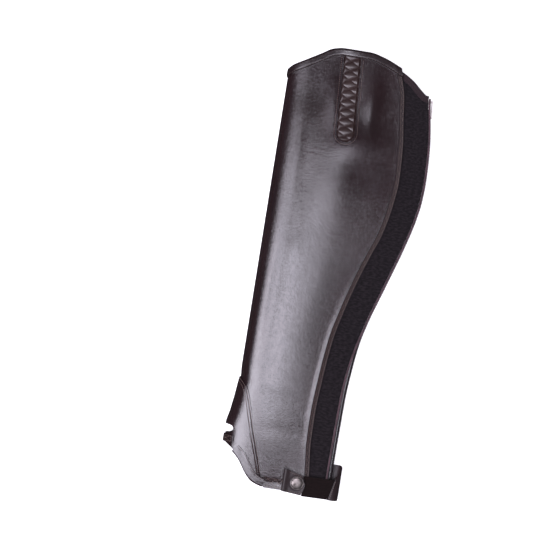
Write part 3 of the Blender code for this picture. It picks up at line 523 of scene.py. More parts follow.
def coloured(tree, share, dark, light, low, high):
    """Colours that run from dark to light as a share runs from low to high."""
    band = node(tree, "ValToRGB", {"Fac": share})
    for stop, position, colour in zip(band.color_ramp.elements, (low, high), (dark, light)):
        stop.position = position
        stop.color = (*colour, 1.0)
    return band.outputs["Color"]


def patches(tree, vector, scale, dark, light, low=0.35, high=0.65, detail=3.0):
    """Soft patches between two colours."""
    return coloured(tree, cloudy(tree, vector, scale, detail), dark, light, low, high)


def uneven(tree, share, low, high, share_low=0.0, share_high=1.0):
    """A roughness that runs from low to high with a share."""
    limits = {"From Min": share_low, "From Max": share_high, "To Min": low, "To Max": high}
    return node(tree, "MapRange", {"Value": share}, limits).outputs["Result"]


def raised(tree, height, strength, depth, under=None):
    """A bump of the given depth in millimetres, over another if there is one."""
    sources = {"Height": height}
    if under is not None:
        sources["Normal"] = under
    values = {"Strength": strength, "Distance": depth * MILLIMETRE}
    return node(tree, "Bump", sources, values).outputs["Normal"]


def waxed_leather(name, dark, light, roughness, grain=0.045, specular=0.7):
    """Smooth cowhide: pores, fine creases and slow waves, a little uneven in colour and shine."""
    made, tree, shader = new_finish(name, dark, roughness, specular=specular)
    place = on_the_piece(tree)
    colour = patches(tree, place, 26.0, dark, light, detail=5.0)
    shine = uneven(tree, cloudy(tree, place, 220.0, 5.0), roughness - 0.03, roughness + 0.04, 0.3, 0.7)
    waves = raised(tree, cloudy(tree, place, 80.0, 2.0), 1.0, 0.03)
    pores = node(tree, "TexVoronoi", {"Vector": place}, {"Scale": 900.0}, feature="DISTANCE_TO_EDGE")
    creases = cloudy(tree, place, 430.0, 4.0)
    both = node(tree, "Math", {0: pores.outputs["Distance"], 1: creases}, operation="ADD")
    skin_relief = raised(tree, both.outputs["Value"], 1.0, grain, waves)
    feed(tree, shader, {"Base Color": colour, "Roughness": shine, "Normal": skin_relief})
    return made


leather_finish = waxed_leather(
    "dark brown waxed leather", (0.0096, 0.0047, 0.0056), (0.0136, 0.0068, 0.0080), 0.18, grain=0.095
)

ZipRow = namedtuple("ZipRow", "down inset height piping")
COIL_INSET = 1.45
ZIP_ROWS = (
    ZipRow(0, 3.8, 5.4, 1.9),
    ZipRow(20, 3.8, 5.4, 1.6),
    ZipRow(50, COIL_INSET, 3.4, 0.5),
    ZipRow(180, COIL_INSET, 3.4, 0.5),
    ZipRow(240, COIL_INSET, 4.6, 0.5),
    ZipRow(300, COIL_INSET, 6.5, 3.4),
    ZipRow(430, COIL_INSET, 6.5, 4.2),
)
INNER_LEATHER_CLEAR = 0.55

FOOT_SEAM = (
    Rim(-8, 306.5),
    Rim(0, 311.7),
    Rim(6.7, 317.8),
    Rim(10.6, 324.4),
    Rim(16, 340.0),
    Rim(21.7, 359.0),
    Rim(32.2, 391.0),
    Rim(38.3, 411.0),
    Rim(46, 433.0),
)
FOOT_END = 38.3
FOOT_LAP_ACROSS = 6.0
FOOT_LAP_DOWN = 3.0
FOOT_CORNER_RISE = 7.0
FOOT_CORNER_WIDTH = 1.6

WINDOW_TOP = -23.0
WINDOW_TOP_ACROSS = 61.3
WINDOW_END_ACROSS = 66.0
WINDOW_END_DOWN = 55.4
WINDOW_TOP_HALF = 8.5
WINDOW_END_RADIUS = 9.2


def leather_end(down):
    return seam(down) - SEAM_STRIP_WIDTH - GAP


def inner_leather_end(down):
    return back(down) - through(ZIP_ROWS, "down", "inset", down) - INNER_LEATHER_CLEAR


def top_fold(girth, across):
    """Where the top binding's fold begins, on either wall."""
    outer = through(OUTER_RIM, "across", "down", across)
    inner = through(INNER_RIM, "across", "down", across)
    return np.where(np.asarray(girth) >= 0, outer, inner) + TRIM_PROUD


def top_of_leather(girth, across):
    return top_fold(girth, across) + EDGE_CLEAR


def bottom_of_leather(girth, across):
    """Level at the foot, and rising under the foot piece toward the shin fold."""
    lap = through(FOOT_SEAM, "across", "down", across + FOOT_LAP_ACROSS) + FOOT_LAP_DOWN
    rise = FOOT_CORNER_RISE * ramp((FOOT_END + FOOT_CORNER_WIDTH - across) / FOOT_CORNER_WIDTH)
    return np.minimum(BOTTOM_DOWN - rise, lap)


def window_share(down):
    return (np.asarray(down) - WINDOW_TOP) / (WINDOW_END_DOWN - WINDOW_TOP)


def window_middle(down):
    return WINDOW_TOP_ACROSS + (WINDOW_END_ACROSS - WINDOW_TOP_ACROSS) * np.minimum(window_share(down), 1)


def window_half(down):
    return WINDOW_TOP_HALF + (WINDOW_END_RADIUS - WINDOW_TOP_HALF) * np.minimum(window_share(down), 1)


def outside_window(across, down, margin=0.0):
    """How far a place is outside the insert's long opening, which is round at its lower end."""
    past = np.maximum(down - WINDOW_END_DOWN, 0.0)
    beside = np.hypot(across - window_middle(down), past) - window_half(down) - margin
    return np.maximum(beside, WINDOW_TOP - down)


leather_ends = round_the_shin(leather_end, inner_leather_end)
girth, down = cut(spread(111, 15, 37), leather_ends, top_of_leather, bottom_of_leather, 236)
main_leather = cloth(
    "main_leather", girth, down, 0.0, LEATHER, leather_finish, outside=outside_window, rim_round=0.35
)
fitted(main_leather, "dark_brown_leather", "main_panel")
cut_flat(main_leather, 325, 450)

# ---------------------------------------------------------------- lining
# Taupe split suede, glued behind the leather and caught in its seams. It is left open behind the insert
# and stops short at the foot and along the zip.

LINING_HEM = 3.0
ELASTIC_UNDERLAP = 8.0
ZIP_TAPE_WIDTH = 10.0
INSERT_LAP = 4.4


def napped_suede(name, dark, light):
    """Brushed suede: a short nap that lies this way and that in patches."""
    made, tree, shader = new_finish(name, light, 0.95, specular=0.15)
    place = on_the_piece(tree)
    colour = patches(tree, place, 60.0, dark, light, detail=6.0)
    nap = raised(tree, cloudy(tree, place, 900.0, 3.0), 0.7, 0.25)
    feed(tree, shader, {"Base Color": colour, "Normal": nap})
    shader.inputs["Sheen Weight"].default_value = 0.35
    shader.inputs["Sheen Roughness"].default_value = 0.5
    return made


suede_finish = napped_suede("taupe suede", (0.135, 0.105, 0.093), (0.205, 0.165, 0.148))
girth, down = cut(
    spread(71, 11, 31),
    round_the_shin(
        lambda down: seam(down) - ELASTIC_UNDERLAP - EDGE_CLEAR,
        lambda down: inner_leather_end(down) - ZIP_TAPE_WIDTH - EDGE_CLEAR,
    ),
    top_of_leather,
    lambda girth, across: bottom_of_leather(girth, across) - LINING_HEM,
    150,
)
suede = cloth(
    "suede_lining",
    girth,
    down,
    UNDER_LEATHER,
    LINING,
    suede_finish,
    outside=lambda across, down: outside_window(across, down, INSERT_LAP),
)
fitted(suede, "taupe_suede", "lining")

# ---------------------------------------------------------------- smocked insert
# A narrow strip of soft, thin leather behind the window in the outer wall. It is gathered by stitches
# that cross from side to side, so it puffs up in diamonds between them.

INSERT_CLEAR = 0.4
INSERT_TIP_SHARE = 0.2
SMOCK_PITCH = 9.35
SMOCK_START = -21.0
PUFF = 1.9

insert_finish = waxed_leather(
    "soft gathered leather", (0.0210, 0.0124, 0.0118), (0.0320, 0.0196, 0.0186), 0.34, specular=0.5
)


def insert_half(down):
    """Half of the width of the insert's cloth, with the lap behind the leather."""
    half = window_half(down) + INSERT_LAP - INSERT_CLEAR
    past = np.maximum(down - WINDOW_END_DOWN, 0.0)
    return np.maximum(INSERT_TIP_SHARE * half, np.sqrt(np.maximum(half**2 - past**2, 0.0)))


def insert_middle(down):
    return WINDOW_TOP_ACROSS + (WINDOW_END_ACROSS - WINDOW_TOP_ACROSS) * window_share(down)


def puff(across, down):
    """How far the gathered leather stands up between its crossing rows of stitches."""
    u = (across - window_middle(down)) / (2 * window_half(down)) + 0.5
    v = (down - SMOCK_START) / SMOCK_PITCH
    height = 1.0
    for line, pull in ((v - u, 0.45), (v + u, 0.9)):
        off = np.abs(line - np.rint(line))
        height = height * (1 - pull + pull * np.sqrt(np.clip(1 - (1 - 2 * off) ** 2, 0.0, 1.0)))
    return PUFF * height * ramp(-outside_window(across, down) / 2.2)


def on_one_wall(wall, start, end):
    """A cut on the outer wall alone, which upper stands for, or on the inner wall, for lower."""

    def girth_at(share, down):
        return wall(start(down) + (end(down) - start(down)) * share, down)

    return girth_at


girth, down = cut(
    spread(81),
    on_one_wall(
        upper,
        lambda down: insert_middle(down) + insert_half(down),
        lambda down: insert_middle(down) - insert_half(down),
    ),
    level_at(WINDOW_TOP + 0.25),
    level_at(WINDOW_END_DOWN + WINDOW_END_RADIUS + INSERT_LAP - INSERT_CLEAR - GAP),
    290,
)
relief = puff(skin(girth, down)[0], down)
insert = cloth("smocked_insert", girth, down, UNDER_LEATHER - relief, LINING, insert_finish)
fitted(insert, "dark_brown_leather", "insert_panel")
cut_flat(insert, 27, 110)

# ---------------------------------------------------------------- seam strip and its stitching
# The leather's turned edge along the calf elastic, sewn down with two rows of light brown thread and a
# zigzag between them, which pucker it a little.

SEAM_STRIP_DEPTH = 0.5
FOLDED_EDGE_RISE = 0.24
PUCKER_RISE = 0.10
PUCKER_PITCH = 3.0
OUTER_RIM_END = 113.0
STRIP_STITCHES_END = 415.0


def thread_finish(name, colour):
    """Twisted polyester thread, with a little shine."""
    made, tree, shader = new_finish(name, colour, 0.55, specular=0.4)
    place = on_the_piece(tree)
    ply = raised(tree, cloudy(tree, place, 2600.0, 1.0), 0.6, 0.1)
    dark = tuple(part * 0.7 for part in colour)
    feed(tree, shader, {"Base Color": patches(tree, place, 300.0, dark, colour), "Normal": ply})
    return made


def run_along(points):
    """How far along its line each point lies."""
    return np.concatenate([[0.0], np.cumsum(np.linalg.norm(np.diff(points, axis=0), axis=1))])


def stitched(name, lines, finish, pitch, length, thread, slot="dark_brown_leather"):
    """Rows of stitches, each a bead of thread along a line of points with the way out of the leather."""
    shape = bmesh.new()
    for points, out in lines:
        run = run_along(points)
        count = max(1, round(run[-1] / pitch))
        places = (np.arange(count) + 0.5) * run[-1] / count

        def along(values, at):
            return np.stack([np.interp(at, run, values[:, k]) for k in range(3)], axis=-1)

        half = min(length, run[-1] / count * 0.9) / 2
        way = unit(along(points, places + half) - along(points, places - half))
        up = along(out, places)
        side = unit(np.cross(up, way))
        up = np.cross(way, side)
        centres = to_world(along(points, places) + up * thread * 0.12)
        for centre, w, s, u in zip(centres, way, side, up):
            turn = np.column_stack([w * half, s * thread / 2, u * thread * 0.45]) * MILLIMETRE
            bead = Matrix(turn.tolist()).to_4x4()
            bead.translation = centre
            bmesh.ops.create_uvsphere(shape, u_segments=6, v_segments=4, radius=1.0, matrix=bead)
    bmesh.ops.recalc_face_normals(shape, faces=shape.faces)
    return fitted(piece_from(shape, name, finish), slot)


def line_on(wall, across, down, proud=0.0):
    """A line of places on one wall, standing proud of the leather's face."""
    across, down = np.broadcast_arrays(np.asarray(across, float), np.asarray(down, float))
    girth = wall(across, down)
    return on_skin(girth, down, -proud), outward(girth, down)


strip_finish = waxed_leather(
    "turned edge leather",
    (0.0100, 0.0056, 0.0062),
    (0.0150, 0.0092, 0.0099),
    0.50,
    grain=0.09,
    specular=0.3,
)
light_thread = thread_finish("light brown thread", (0.120, 0.084, 0.072))
seam_thread = thread_finish("brown thread", (0.050, 0.032, 0.028))
dark_thread = thread_finish("dark brown thread", (0.024, 0.015, 0.014))

girth, down = cut(
    spread(13),
    on_one_wall(upper, seam, lambda down: seam(down) - SEAM_STRIP_WIDTH),
    lambda girth, across: top_of_leather(1, across),
    level_at(BOTTOM_DOWN),
    300,
)
strip_off = spread(13)[:, None] * SEAM_STRIP_WIDTH
folded_edge = FOLDED_EDGE_RISE * np.exp(-(((strip_off - 0.5) / 0.4) ** 2))
puckers = PUCKER_RISE * np.abs(np.sin(down * math.pi / PUCKER_PITCH))
seam_edge = cloth(
    "seam_edge",
    girth,
    down,
    SEAM_STRIP_DEPTH - (folded_edge + puckers),
    LEATHER - SEAM_STRIP_DEPTH,
    strip_finish,
)
fitted(seam_edge, "dark_brown_leather", "seam_strip")

strip_top = through(OUTER_RIM, "across", "down", OUTER_RIM_END) + TOP_FLAP_OUT + 1.5
down = np.linspace(strip_top, STRIP_STITCHES_END, 800)
zigzag = np.abs((down / PUCKER_PITCH) % 2 - 1)
seam_rows = [
    line_on(upper, seam(down) - 0.95, down, -0.30),
    line_on(upper, seam(down) - 3.55, down, -0.25),
    line_on(upper, seam(down) - 1.3 - 1.9 * zigzag, down, -0.12),
]
stitched("seam_stitches", seam_rows, light_thread, pitch=2.0, length=1.3, thread=0.65)

# ---------------------------------------------------------------- tapes inside
# Black woven tapes, 5.5 mm wide, that cover the raw seams inside: one each side of the insert and one
# along the calf elastic.

BLACK_TAPE_WIDTH = 5.5
TAPE_BELOW_INSERT_TOP = 6.2
TAPE_PAST_INSERT = 2.0
TAPE_BELOW_BINDING = 4.2
TOP_FLAP_IN = 7.3
ELASTIC_TAPE_END = 400.0


def stripes(tree, vector, period, direction):
    """Even ridges a period apart in millimetres, along one axis of a vector in metres."""
    scale = math.tau / 20 / (period * MILLIMETRE)
    ridge = node(
        tree, "TexWave", {"Vector": vector}, {"Scale": scale}, wave_type="BANDS", bands_direction=direction
    )
    return ridge.outputs["Fac"]


def mix(tree, one, other, weight):
    return node(tree, "Mix", {2: one, 3: other}, {0: weight}, data_type="FLOAT").outputs[0]


def woven(name, dark, light, warp, weft, depth, roughness=0.8, sheen=0.1):
    """Cloth whose threads cross: warp and weft are the threads' spacings in millimetres."""
    made, tree, shader = new_finish(name, light, roughness, specular=0.3)
    flat = along_the_cut(tree)
    sources = {0: stripes(tree, flat, warp, "X"), 1: stripes(tree, flat, weft, "Y")}
    weave = node(tree, "Math", sources, operation="MULTIPLY").outputs["Value"]
    mixed = mix(tree, weave, cloudy(tree, flat, 700.0, 3.0), 0.35)
    # The colour follows the relief: darker where the weave sinks between its threads and lighter where they
    # cross, a painted shade between the threads, with random tone from the noise mixed in.
    colour = coloured(tree, mixed, dark, light, 0.15, 0.75)
    feed(tree, shader, {"Base Color": colour, "Normal": raised(tree, mixed, 0.8, depth)})
    shader.inputs["Sheen Weight"].default_value = sheen
    return made


tape_finish = woven("black woven tape", (0.008, 0.008, 0.011), (0.020, 0.020, 0.027), 0.5, 0.6, 0.12)
tape_start = WINDOW_TOP + TAPE_BELOW_INSERT_TOP
tape_stop = WINDOW_END_DOWN + WINDOW_END_RADIUS + INSERT_LAP + TAPE_PAST_INSERT
for name, side in (("insert_tape_back", 1), ("insert_tape_front", -1)):
    off = side * (WINDOW_END_RADIUS + INSERT_LAP) + BLACK_TAPE_WIDTH / 2
    lane = on_one_wall(
        upper,
        lambda down, off=off: insert_middle(down) + off,
        lambda down, off=off: insert_middle(down) + off - BLACK_TAPE_WIDTH,
    )
    girth, down = cut(spread(7), lane, level_at(tape_start), level_at(tape_stop), 40)
    tape = cloth(name + "_tape", girth, down, UNDER_LINING, TAPE, tape_finish)
    fitted(tape, "black_tape", name)

over = ELASTIC_UNDERLAP - BLACK_TAPE_WIDTH / 2
girth, down = cut(
    spread(7),
    on_one_wall(upper, lambda down: seam(down) - over, lambda down: seam(down) - over - BLACK_TAPE_WIDTH),
    lambda girth, across: through(OUTER_RIM, "across", "down", across) + TOP_FLAP_IN + TAPE_BELOW_BINDING,
    level_at(ELASTIC_TAPE_END),
    120,
)
tape = cloth("elastic_seam_tape", girth, down, UNDER_LINING, TAPE, tape_finish)
fitted(tape, "black_tape", "elastic_tape")
cut_flat(suede, 312, 445)

# ---------------------------------------------------------------- top binding
# A strip of the same leather, folded over the top edge all round from the elastic to the zip and sewn
# through with one row of stitches 5 mm below the fold, so the fold stands up in a soft roll.

SEAM_LEAN = 0.29
TOP_BINDING_END = 141.4
BINDINGS_APART = 1.7
LEAN_FADES = 18.0
ROW_INSET = 1.1
ROW_HALF_WIDTH = 0.7
ROW_SUNK_OUT = 0.07
ROW_SUNK_IN = 0.2
THREAD_SUNK = 0.15
FOLD_PAST_EDGE = 0.4
BINDING_ROLL = 0.42


def walk(girth, down, sideways, depth):
    """Points reached by walking along the skin, then sinking to a depth."""
    steps = 3
    for _ in range(steps):
        round_way, down_way = ways(girth, down)
        a = (round_way**2).sum(-1)
        b = (round_way * down_way).sum(-1)
        c = (down_way**2).sum(-1)
        e = (sideways * round_way).sum(-1) / steps
        f = (sideways * down_way).sum(-1) / steps
        scale = a * c - b * b
        girth = girth + (e * c - f * b) / scale
        down = down + (f * a - e * b) / scale
    return on_skin(girth, down, depth)


def off_the_edge(girth, down, toward, leans=(None, None)):
    """The way from an edge into its panel, square to the edge or along a leaning seam at an end."""
    points = spot(girth, down)
    ends = np.concatenate([points[:1], points, points[-1:]])
    way = unit(ends[2:] - ends[:-2])
    into = unit(np.cross(way, outward(girth, down)))
    into = np.where(into[:, 1:2] * toward > 0, -into, into)
    run = run_along(points)
    round_way, down_way = ways(girth, down)
    for i, lean in zip((0, len(girth) - 1), leans):
        if lean is not None:
            end_way = down_way[i] + round_way[i] * ((lean - down_way[i][0]) / round_way[i][0])
            end_way = unit(end_way) * toward
            slant = (end_way / end_way.dot(into[i]) - into[i]).dot(way[i])
            into = into + way * (slant * ramp(1 - np.abs(run - run[i]) / LEAN_FADES))[:, None]
    return into


def folded_over(
    name,
    girth,
    down,
    toward,
    under,
    flaps,
    finish,
    leans=(None, None),
    roll=0.0,
    pucker=0.0,
):
    """A strip folded over an edge and stitched. under is the depth at which what it holds begins and how
    thick that is, flaps are the strip's widths outside and inside, roll tells how much fuller it is at
    the fold than along its outer row, and pucker how unevenly."""
    turn = TRIM_PROUD
    into = off_the_edge(girth, down, toward, leans)
    run = run_along(spot(girth, down))
    fullness = roll + pucker * (np.sin(run * math.tau / 3.0) + np.sin(run * math.tau / 7.7 + 1.3))

    def flap(length, steps):
        reach = np.linspace(length, FOLD_PAST_EDGE, steps)
        return reach, np.exp(-(((reach - length + ROW_INSET) / ROW_HALF_WIDTH) ** 2))

    reach_out, row_out = flap(flaps[0], 14)
    reach_in, row_in = flap(flaps[1], 12)
    bend = np.linspace(math.pi / 2, 0, 6)[1:]
    back_bend = bend[::-1]
    fold_out = FOLD_PAST_EDGE - (turn + FOLD_PAST_EDGE) * np.cos(bend)
    fold_back = FOLD_PAST_EDGE - (turn + FOLD_PAST_EDGE) * np.cos(back_bend)
    reach = np.concatenate([reach_out, fold_out, fold_back, reach_in[::-1]])
    inner_level = np.concatenate([turn * np.sin(back_bend), turn - ROW_SUNK_IN * row_in[::-1]])
    level = np.concatenate(
        [-turn + ROW_SUNK_OUT * row_out, -turn * np.sin(bend), under[1] + inner_level]
    )
    full_out = np.clip(1 - reach_out / (flaps[0] - ROW_INSET), 0.0, 1.0)
    full = np.concatenate([full_out, np.sin(bend), np.zeros(len(inner_level))])
    shape = (len(girth), len(reach))
    depth = under[0] + level[None, :] - fullness[:, None] * full[None, :]
    points = walk(
        np.broadcast_to(girth[:, None], shape),
        np.broadcast_to(down[:, None], shape),
        into[:, None, :] * reach[None, :, None],
        depth,
    )
    points = points[:, ::-1] if toward > 0 else points[::-1, ::-1]
    return shell(name, points, BINDING, finish, rim_round=0.2)


def beside_edge(girth, down, toward, reach, depth, leans=(None, None)):
    """A line of places at a reach from an edge and at a depth."""
    into = off_the_edge(girth, down, toward, leans)
    return walk(girth, down, into * reach, depth + np.zeros(len(girth))), outward(girth, down)


binding_finish = waxed_leather(
    "binding leather", (0.0096, 0.0052, 0.0060), (0.0140, 0.0080, 0.0090), 0.20, grain=0.05, specular=0.6
)
binding_ends = round_the_shin(
    lambda down: OUTER_RIM_END - BINDINGS_APART / 2, lambda down: TOP_BINDING_END
)
girth, down = meet(spread(121, 21, 90), binding_ends, top_fold)
beside_insert = np.exp(-(((skin(girth, down)[0] - 57) / 13) ** 2)) * (girth > 0)
leans = (SEAM_LEAN, None)
top_edge = folded_over(
    "top_edge_binding",
    girth,
    down,
    1,
    (0.0, STACK),
    (TOP_FLAP_OUT, TOP_FLAP_IN),
    binding_finish,
    leans=leans,
    roll=BINDING_ROLL * beside_insert,
    pucker=0.015,
)
fitted(top_edge, "dark_brown_leather", "top_binding")
cut_flat(top_edge, 19, 295)
row = beside_edge(girth, down, 1, TOP_FLAP_OUT - ROW_INSET, -TRIM_PROUD + THREAD_SUNK, leans)
stitched("top_binding_stitches", [row], seam_thread, pitch=2.8, length=2.2, thread=0.5)
points, out = beside_edge(girth, down, 1, TOP_FLAP_IN - ROW_INSET, STACK + TRIM_PROUD - THREAD_SUNK, leans)
stitched("top_facing_stitches", [(points, -out)], light_thread, pitch=2.8, length=2.2, thread=0.5)

# ---------------------------------------------------------------- calf elastic
# A panel of black ribbed stretch cloth at the back of the calf, lapped 8 mm under the leather, with its
# top edge bound in plum cloth and a plum piping down its edge beside the zip.

END_CLEAR = 0.4
PIPING_RADIUS = 1.0
PIPING_BELOW_RIM = 2.0
ELASTIC_FLAP_OUT = 5.3
ELASTIC_FLAP_IN = 3.4
ELASTIC_CORNER_DOWN = 8.0
SLACK = 0.25
ELASTIC_RIM = (
    Rim(100, -21.0),
    Rim(112, -15.3),
    Rim(125, -7.8),
    Rim(135, 0.6),
    Rim(141, 4.7),
    Rim(150, 5.4),
)


def ribbed_elastic(name, dark, light, rib, depth, knit_weight=0.75):
    """Stretch cloth with faint ribs along its length and short, uneven knit stitches across them."""
    made, tree, shader = new_finish(name, light, 0.85, specular=0.12)
    flat = along_the_cut(tree)
    drawn = node(tree, "Mapping", {"Vector": flat}, {"Scale": (0.4, 1.0, 1.0)}).outputs["Vector"]
    knit = cloudy(tree, drawn, 620.0, 3.0)
    relief = raised(tree, mix(tree, stripes(tree, flat, rib, "X"), knit, knit_weight), 0.8, depth)
    # The colour follows the knit noise that makes most of the relief, so the cloth is lighter where its
    # stitches stand up and darker where they sink: partly the yarn's own uneven tone, partly painted shade.
    feed(tree, shader, {"Base Color": coloured(tree, knit, dark, light, 0.40, 0.62), "Normal": relief})
    shader.inputs["Sheen Weight"].default_value = 0.04
    return made


elastic_finish = ribbed_elastic(
    "black ribbed elastic", (0.0052, 0.0040, 0.0050), (0.0135, 0.0106, 0.0126), 0.45, 0.14, 0.92
)
plum_finish = woven(
    "plum binding cloth", (0.007, 0.0030, 0.0042), (0.036, 0.0185, 0.0235), 0.9, 0.9, 0.15, 0.8, 0.03
)


def piping_across(down):
    return back(down) - through(ZIP_ROWS, "down", "piping", down) - PIPING_RADIUS


def elastic_end(down):
    return piping_across(down) - PIPING_RADIUS - END_CLEAR


def elastic_fold(girth, across):
    """Where the fold of the elastic's binding begins."""
    return through(ELASTIC_RIM, "across", "down", across) + TRIM_PROUD


girth, down = cut(
    spread(49),
    on_one_wall(upper, elastic_end, lambda down: seam(down) - ELASTIC_UNDERLAP),
    lambda girth, across: elastic_fold(girth, across) + EDGE_CLEAR,
    level_at(BOTTOM_DOWN - EDGE_CLEAR),
    300,
)
elastic_across = skin(girth, down)[0]
shown_share = np.clip((elastic_across - seam(down)) / (elastic_end(down) - seam(down)), 0, 1)
slack = SLACK * np.sin(down / 9.0 + 2.0 * np.sin(down / 31.0)) * np.sin(math.pi * shown_share)
elastic = cloth("calf_elastic", girth, down, UNDER_LEATHER - slack, LINING, elastic_finish)
fitted(elastic, "black_elastic", "elastic_panel")
cut_flat(elastic, 44, 425)

lane = on_one_wall(
    upper, lambda down: elastic_end(ELASTIC_CORNER_DOWN), lambda down: OUTER_RIM_END + BINDINGS_APART / 2
)
girth, down = meet(spread(60), lane, elastic_fold)
leans = (None, SEAM_LEAN)
elastic_edge = folded_over(
    "elastic_edge_binding",
    girth,
    down,
    1,
    (UNDER_LEATHER, LINING),
    (ELASTIC_FLAP_OUT, ELASTIC_FLAP_IN),
    plum_finish,
    leans=leans,
    roll=0.1,
)
fitted(elastic_edge, "plum_binding", "elastic_binding")
cut_flat(elastic_edge, 14, 45)
depth = UNDER_LEATHER - TRIM_PROUD + THREAD_SUNK
row = beside_edge(girth, down, 1, ELASTIC_FLAP_OUT - ROW_INSET, depth, leans)
plum_thread = thread_finish("plum thread", (0.020, 0.012, 0.015))
stitched(
    "elastic_binding_stitches",
    [row],
    plum_thread,
    pitch=2.6,
    length=2.0,
    thread=0.45,
    slot="plum_binding",
)


def laid_cord(name, points, radius, material, sides):
    """A round cord along points in millimetres."""
    line = bpy.data.curves.new(name, "CURVE")
    line.dimensions = "3D"
    line.bevel_depth = radius * MILLIMETRE
    line.bevel_resolution = sides
    line.use_fill_caps = True
    spline = line.splines.new("POLY")
    spline.points.add(len(points) - 1)
    for knot, point in zip(spline.points, to_world(points)):
        knot.co = (*point, 1.0)
    line.materials.append(material)
    return placed(name, line)


def corded(name, dark, light, roughness):
    """Cloth wrapped round a cord, its threads slanting round it."""
    made, tree, shader = new_finish(name, light, roughness, specular=0.3)
    place = on_the_piece(tree)
    slant = node(tree, "Mapping", {"Vector": place}, {"Rotation": (0.0, 0.0, 0.7)}).outputs["Vector"]
    threads = raised(tree, stripes(tree, slant, 0.7, "X"), 0.7, 0.1)
    colour = patches(tree, place, 120.0, dark, light, detail=4.0)
    feed(tree, shader, {"Base Color": colour, "Normal": threads})
    shader.inputs["Sheen Weight"].default_value = 0.2
    return made


piping_finish = corded("plum piping cloth", (0.030, 0.0135, 0.0185), (0.062, 0.031, 0.040), 0.7)
down = np.linspace(ELASTIC_RIM[-1].down + PIPING_BELOW_RIM, BOTTOM_DOWN - PIPING_RADIUS, 260)
girth = upper(piping_across(down), down)
piping = laid_cord("plum_piping", on_skin(girth, down, UNDER_LEATHER), PIPING_RADIUS, piping_finish, 3)
fitted(piping, "plum_binding", "elastic_piping")

# ---------------------------------------------------------------- zip
# A closed black nylon coil zip up the back of the leg. Its one tape is sewn behind the elastic and its
# other inside the inner leather, which is topstitched with two rows beside it.

COIL_RADIUS = 1.4
COIL_TOP = 17.6
COIL_BOTTOM = 415.0
ZIP_TAPE_TOP = 18.0
ZIP_TAPE_BOTTOM = 416.5
OUTER_TAPE_DEPTH = UNDER_LINING + 0.2
COIL_PITCH = 1.5
COIL_WIRE = 0.42
COIL_CORE = 0.75
TUCKED = 0.6
ZIP_SIDE_ROWS = (2.0, 4.6)


def moulded(name, colour, roughness):
    """Smooth moulded nylon, a little scuffed."""
    made, tree, shader = new_finish(name, colour, roughness, specular=0.15)
    place = on_the_piece(tree)
    light = tuple(part * 1.7 for part in colour)
    scuffs = uneven(tree, cloudy(tree, place, 500.0, 3.0), roughness - 0.12, roughness + 0.12)
    feed(tree, shader, {"Base Color": patches(tree, place, 160.0, colour, light), "Roughness": scuffs})
    return made


coil_finish = moulded("black nylon coil", (0.0085, 0.0060, 0.0070), 0.5)


def coil_line(down):
    inset = through(ZIP_ROWS, "down", "inset", down)
    height = through(ZIP_ROWS, "down", "height", down)
    return np.stack([back(down) - inset, -down, height], axis=-1)


turns = (COIL_BOTTOM - COIL_TOP) / COIL_PITCH
down = np.linspace(COIL_TOP, COIL_BOTTOM, int(turns * 10))
angle = (down - COIL_TOP) / COIL_PITCH * math.tau
reach = COIL_RADIUS - COIL_WIRE
ring = np.stack([np.cos(angle) * reach, np.zeros_like(angle), np.sin(angle) * reach], axis=-1)
coil = laid_cord("zip_coil_wire", coil_line(down) + ring, COIL_WIRE, coil_finish, 1)
fitted(coil, "black_coil", "zip_coil")
core_line = coil_line(np.linspace(COIL_TOP, COIL_BOTTOM, 160))
core = laid_cord("zip_coil_core", core_line, COIL_CORE, coil_finish, 1)
fitted(core, "black_coil")


def tape_end(down):
    return coil_line(down)[..., 0] - COIL_RADIUS - GAP


zip_tape_finish = woven("black zip tape", (0.007, 0.007, 0.009), (0.018, 0.017, 0.020), 0.5, 0.8, 0.12)
outer_lane = on_one_wall(
    upper, lambda down: tape_end(down) + TUCKED, lambda down: tape_end(down) - ZIP_TAPE_WIDTH
)
inner_lane = on_one_wall(lower, lambda down: inner_leather_end(down) - ZIP_TAPE_WIDTH, tape_end)
for name, lane, depth in (
    ("zip_tape_outer", outer_lane, OUTER_TAPE_DEPTH),
    ("zip_tape_inner", inner_lane, UNDER_LEATHER),
):
    girth, down = cut(spread(9), lane, level_at(ZIP_TAPE_TOP), level_at(ZIP_TAPE_BOTTOM), 160)
    tape = cloth(name + "_web", girth, down, depth, TAPE, zip_tape_finish)
    fitted(tape, "black_tape", name)

down = np.linspace(16.0, 412.0, 500)
zip_rows = [line_on(lower, inner_leather_end(down) - inset, down, -0.16) for inset in ZIP_SIDE_ROWS]
stitched("zip_side_stitches", zip_rows, dark_thread, pitch=3.0, length=2.3, thread=0.5)

# ---------------------------------------------------------------- zip slider and pull
# Die-cast zinc, plated in worn antique silver: the slider at the top of the closed coil, and the flat
# tab that swings on its pin.


def antique_silver(name, light, dark, roughness):
    """Silver plate, darkened in its hollows and rubbed bright where it is touched."""
    made, tree, shader = new_finish(name, light, roughness, metallic=1.0)
    place = on_the_piece(tree)
    colour = patches(tree, place, 240.0, dark, light, 0.3, 0.7, 5.0)
    scuff = cloudy(tree, place, 900.0, 4.0)
    shine = uneven(tree, scuff, roughness - 0.12, roughness + 0.18)
    dents = raised(tree, scuff, 0.5, 0.05)
    feed(tree, shader, {"Base Color": colour, "Roughness": shine, "Normal": dents})
    return made


silver_finish = antique_silver("rubbed antique silver", (0.46, 0.43, 0.42), (0.16, 0.14, 0.135), 0.34)
for name in ("zip_slider", "zip_pull", "snap_stud"):
    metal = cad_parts[name]
    metal.data.materials.clear()
    metal.data.materials.append(silver_finish)

# ---------------------------------------------------------------- foot piece
# A separate piece of leather over the instep, lapped on the main leather with two rows of stitches. It
# has a slot across the shin fold, and a bound lower edge.

